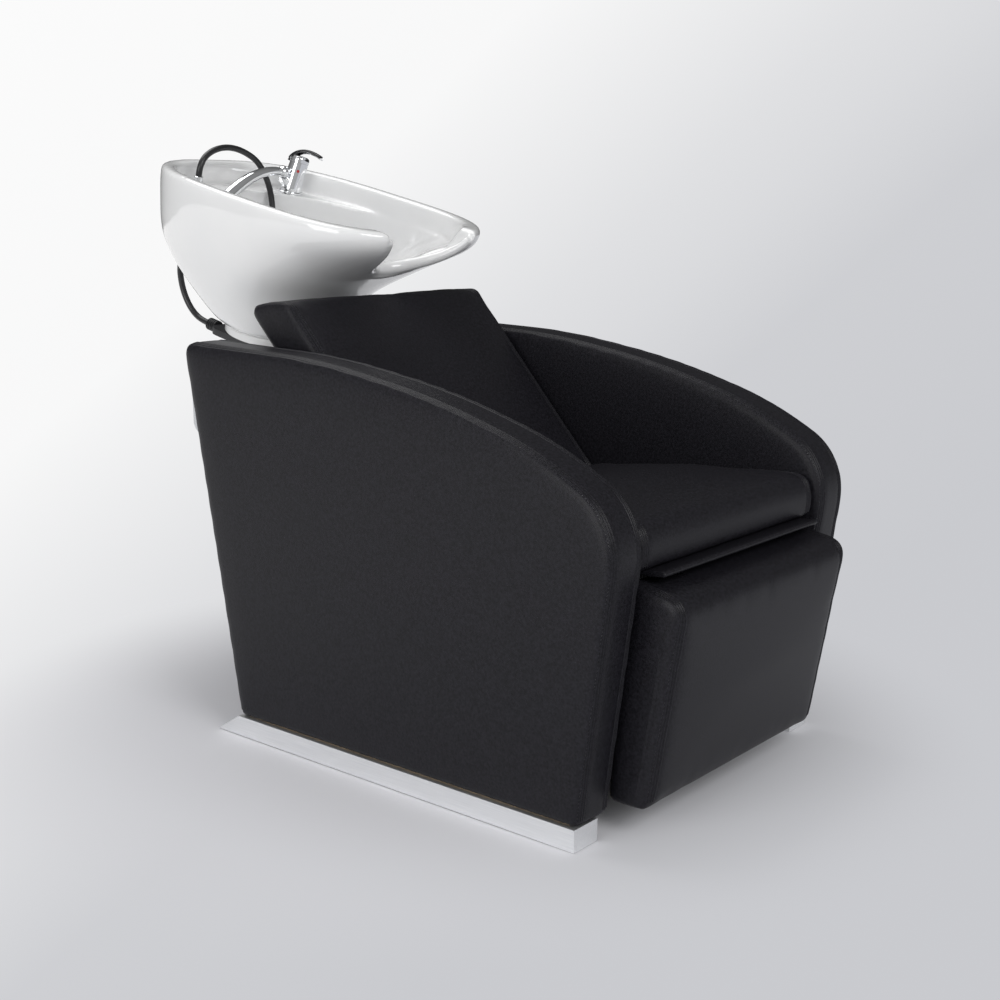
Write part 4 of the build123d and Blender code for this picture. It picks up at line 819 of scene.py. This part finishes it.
class WASHUNIT_OT_legrest(bpy.types.Operator):
    """The legrest cushion with its side seams and the slots for its hinge arms"""
    bl_idname = "wash_unit.legrest"
    bl_label = "Legrest"

    def execute(self, context):
        looks = looks_of()
        leg = padded_piece("legrest_pad", "legrest_cushion", looks, cap=0.004, voxel=looks.voxel, hull=True)
        low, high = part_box("legrest_cushion")
        rear_end = high.y - 0.035
        bottom = low.z + 0.012
        edge = high.x - looks.seam_inset
        side_seams(leg, (-edge, edge), lambda point: point.y < rear_end and point.z > bottom, "legrest")
        for side in (-1, 1):
            self.cut_slot(leg, side)
        dress(leg, leather_finish(), "legrest", "black_leather", "legrest_cushion")
        return {"FINISHED"}

    def cut_slot(self, leg, side):
        """Cuts one slot through the rear, up to the top, for a hinge arm. Its front slopes back
        towards the top, as the arm does when the legrest swings out."""
        low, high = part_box("hinge_arms")
        size = (0.014, 0.162, 0.20)
        arm_half = 0.004
        pin_from_front = 0.014
        pin_to_middle = 0.061
        above_middle = 0.082
        top_setback = 0.037
        middle = Vector((side * (high.x - arm_half), low.y + pin_from_front + pin_to_middle,
                         (low.z + high.z) / 2 + above_middle))
        bpy.ops.object.select_all(action="DESELECT")
        bpy.ops.mesh.primitive_cube_add(size=1)
        cutter = bpy.context.object
        cutter.scale = size
        cutter.location = middle
        bpy.ops.object.transform_apply(location=True, rotation=False, scale=True)
        corners = positions(cutter.data)
        front_top = (corners[:, 1] < corners[:, 1].mean()) & (corners[:, 2] > corners[:, 2].mean())
        corners[front_top, 1] += top_setback
        place_points(cutter.data, corners)
        apply_modifier(leg, "BOOLEAN", operation="DIFFERENCE", object=cutter, solver="EXACT")
        bpy.data.objects.remove(cutter)


class WASHUNIT_OT_basin(bpy.types.Operator):
    """The glazed basin with its rolled neck lip"""
    bl_idname = "wash_unit.basin"
    bl_label = "Basin"

    def execute(self, context):
        looks = looks_of()
        basin = copy_of_node("basin_glazed", "basin")
        roll = self.neck_roll(looks)
        only(basin)
        roll.select_set(True)
        bpy.ops.object.join()
        remesh(basin, looks.glaze_voxel)
        apply_modifier(basin, "SMOOTH", factor=0.5, iterations=10)
        smooth_faces(basin)
        dress(basin, slot_finish("ceramic"), "basin_unit", "ceramic", "basin")
        return {"FINISHED"}

    def neck_roll(self, looks):
        """A closed tube along the outer edge of the neck notch, thinner towards its two ends."""
        notch = 0.110
        end_share = 0.45
        end_angle = math.radians(8)
        angle_window = 0.07
        inward_share = 0.9
        local = positions(nodes["basin"].data)
        turn = np.array(basin_frame.inverted())
        local = local @ turn[:3, :3].T + turn[:3, 3]
        edge = local[self.on_notch(local, notch)]
        angle = np.arctan2(edge[:, 2], edge[:, 0])
        path = []
        for step in np.linspace(end_angle - math.pi, -end_angle, 33):
            near = edge[np.abs(angle - step) < angle_window]
            if len(near):
                full = looks.lip_radius * (end_share - (1 - end_share) * math.sin(step))
                front = near[:, 1].min() + full * inward_share
                reach = notch + looks.lip_overhang - full
                path.append((reach * math.cos(step), front, reach * math.sin(step)))
        path = np.array(path)
        relax(path, 8)
        line = bpy.data.curves.new("neck_roll", "CURVE")
        line.dimensions = "3D"
        line.bevel_depth = looks.lip_radius
        line.bevel_resolution = 6
        line.use_fill_caps = True
        spline = line.splines.new("POLY")
        spline.points.add(len(path) - 1)
        for point, place in zip(spline.points, path):
            point.co = (*(basin_frame @ Vector(place)), 1)
            point.radius = end_share + (1 - end_share) * min(1, -place[2] / notch)
        roll = add_object("neck_roll", line)
        only(roll)
        bpy.ops.object.convert(target="MESH")
        return bpy.context.object

    def on_notch(self, local, notch):
        """Which points of the basin, in its own frame, lie on the notch's cylinder at the front."""
        off_round = 0.0012
        below_rim = -0.004
        before_middle = -0.10
        radius = np.hypot(local[:, 0], local[:, 2])
        at_front = (local[:, 2] < below_rim) & (local[:, 1] < before_middle)
        return (np.abs(radius - notch) < off_round) & at_front


def lever_finish():
    """Chrome lever whose blade is black on top and at its sides."""
    material = slot_finish("chrome").copy()
    material.name = "chrome lever with a black top"
    tree = material.node_tree
    shader = tree.nodes["Principled BSDF"]
    place = node_of_type(tree, "TEX_COORD")

    def join(operation, first, second):
        return add_node(tree, "Math", {0: first, 1: second}, operation=operation).outputs["Value"]

    from_axis = add_node(tree, "VectorMath", {0: place.outputs["Object"], 1: lever_axis},
                         operation="SUBTRACT").outputs["Vector"]
    flat = add_node(tree, "VectorMath", {0: from_axis, 1: (1, 1, 0)}, operation="MULTIPLY")
    beside = add_node(tree, "VectorMath", {0: flat.outputs["Vector"]}, operation="LENGTH")
    height = add_node(tree, "SeparateXYZ", {"Vector": from_axis})
    facing = add_node(tree, "SeparateXYZ", {"Vector": place.outputs["Normal"]})
    blade = join("MAXIMUM", join("GREATER_THAN", beside.outputs["Value"], inlay_beside),
                 join("GREATER_THAN", height.outputs["Z"], inlay_above))
    black = join("MULTIPLY", blade, join("GREATER_THAN", facing.outputs["Z"], inlay_facing))
    bare = shader.inputs["Base Color"].links[0].from_socket
    colour = add_node(tree, "Mix", {"Factor": black, "A": bare, "B": inlay_colour}, data_type="RGBA")
    tree.links.new(colour.outputs["Result"], shader.inputs["Base Color"])
    tree.links.new(join("SUBTRACT", 1, black), shader.inputs["Metallic"])
    return material


class WASHUNIT_OT_finishes(bpy.types.Operator):
    """Finishes for every construction node that shows"""
    bl_idname = "wash_unit.finishes"
    bl_label = "Finishes"

    def execute(self, context):
        for part in frame["record"]["subparts"]:
            obj = nodes[part["node"]]
            if not obj.material_slots:
                obj.data.materials.append(None)
            for slot in obj.material_slots:
                slot.material = slot_finish(part["material_slot"])
        for slot in nodes["mixer_lever"].material_slots:
            slot.material = lever_finish()
        return {"FINISHED"}


class WASHUNIT_PT_panel(bpy.types.Panel):
    """Buttons that build the wash unit piece by piece"""
    bl_label = "Wash unit"
    bl_idname = "WASHUNIT_PT_panel"
    bl_space_type = "VIEW_3D"
    bl_region_type = "UI"
    bl_category = "Wash unit"

    def draw(self, context):
        for operator in steps:
            self.layout.operator(operator.bl_idname)


steps = (
    WASHUNIT_OT_stage, WASHUNIT_OT_hoses, WASHUNIT_OT_arms, WASHUNIT_OT_seat, WASHUNIT_OT_backrest,
    WASHUNIT_OT_legrest, WASHUNIT_OT_basin, WASHUNIT_OT_finishes,
)
classes = (WashUnitLooks, WashUnitStage, *steps, WASHUNIT_PT_panel)


def register():
    for item in classes:
        bpy.utils.register_class(item)
    bpy.types.Scene.wash_unit_looks = PointerProperty(type=WashUnitLooks)
    bpy.types.Scene.wash_unit_stage = PointerProperty(type=WashUnitStage)


def unregister():
    del bpy.types.Scene.wash_unit_stage
    del bpy.types.Scene.wash_unit_looks
    for item in reversed(classes):
        bpy.utils.unregister_class(item)


def main():
    """Registers the add-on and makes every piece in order."""
    register()
    bpy.ops.wash_unit.stage()
    bpy.ops.wash_unit.hoses()
    bpy.ops.wash_unit.arms()
    bpy.ops.wash_unit.seat()
    bpy.ops.wash_unit.backrest()
    bpy.ops.wash_unit.legrest()
    bpy.ops.wash_unit.basin()
    bpy.ops.wash_unit.finishes()


if __name__ == "__main__":
    main()
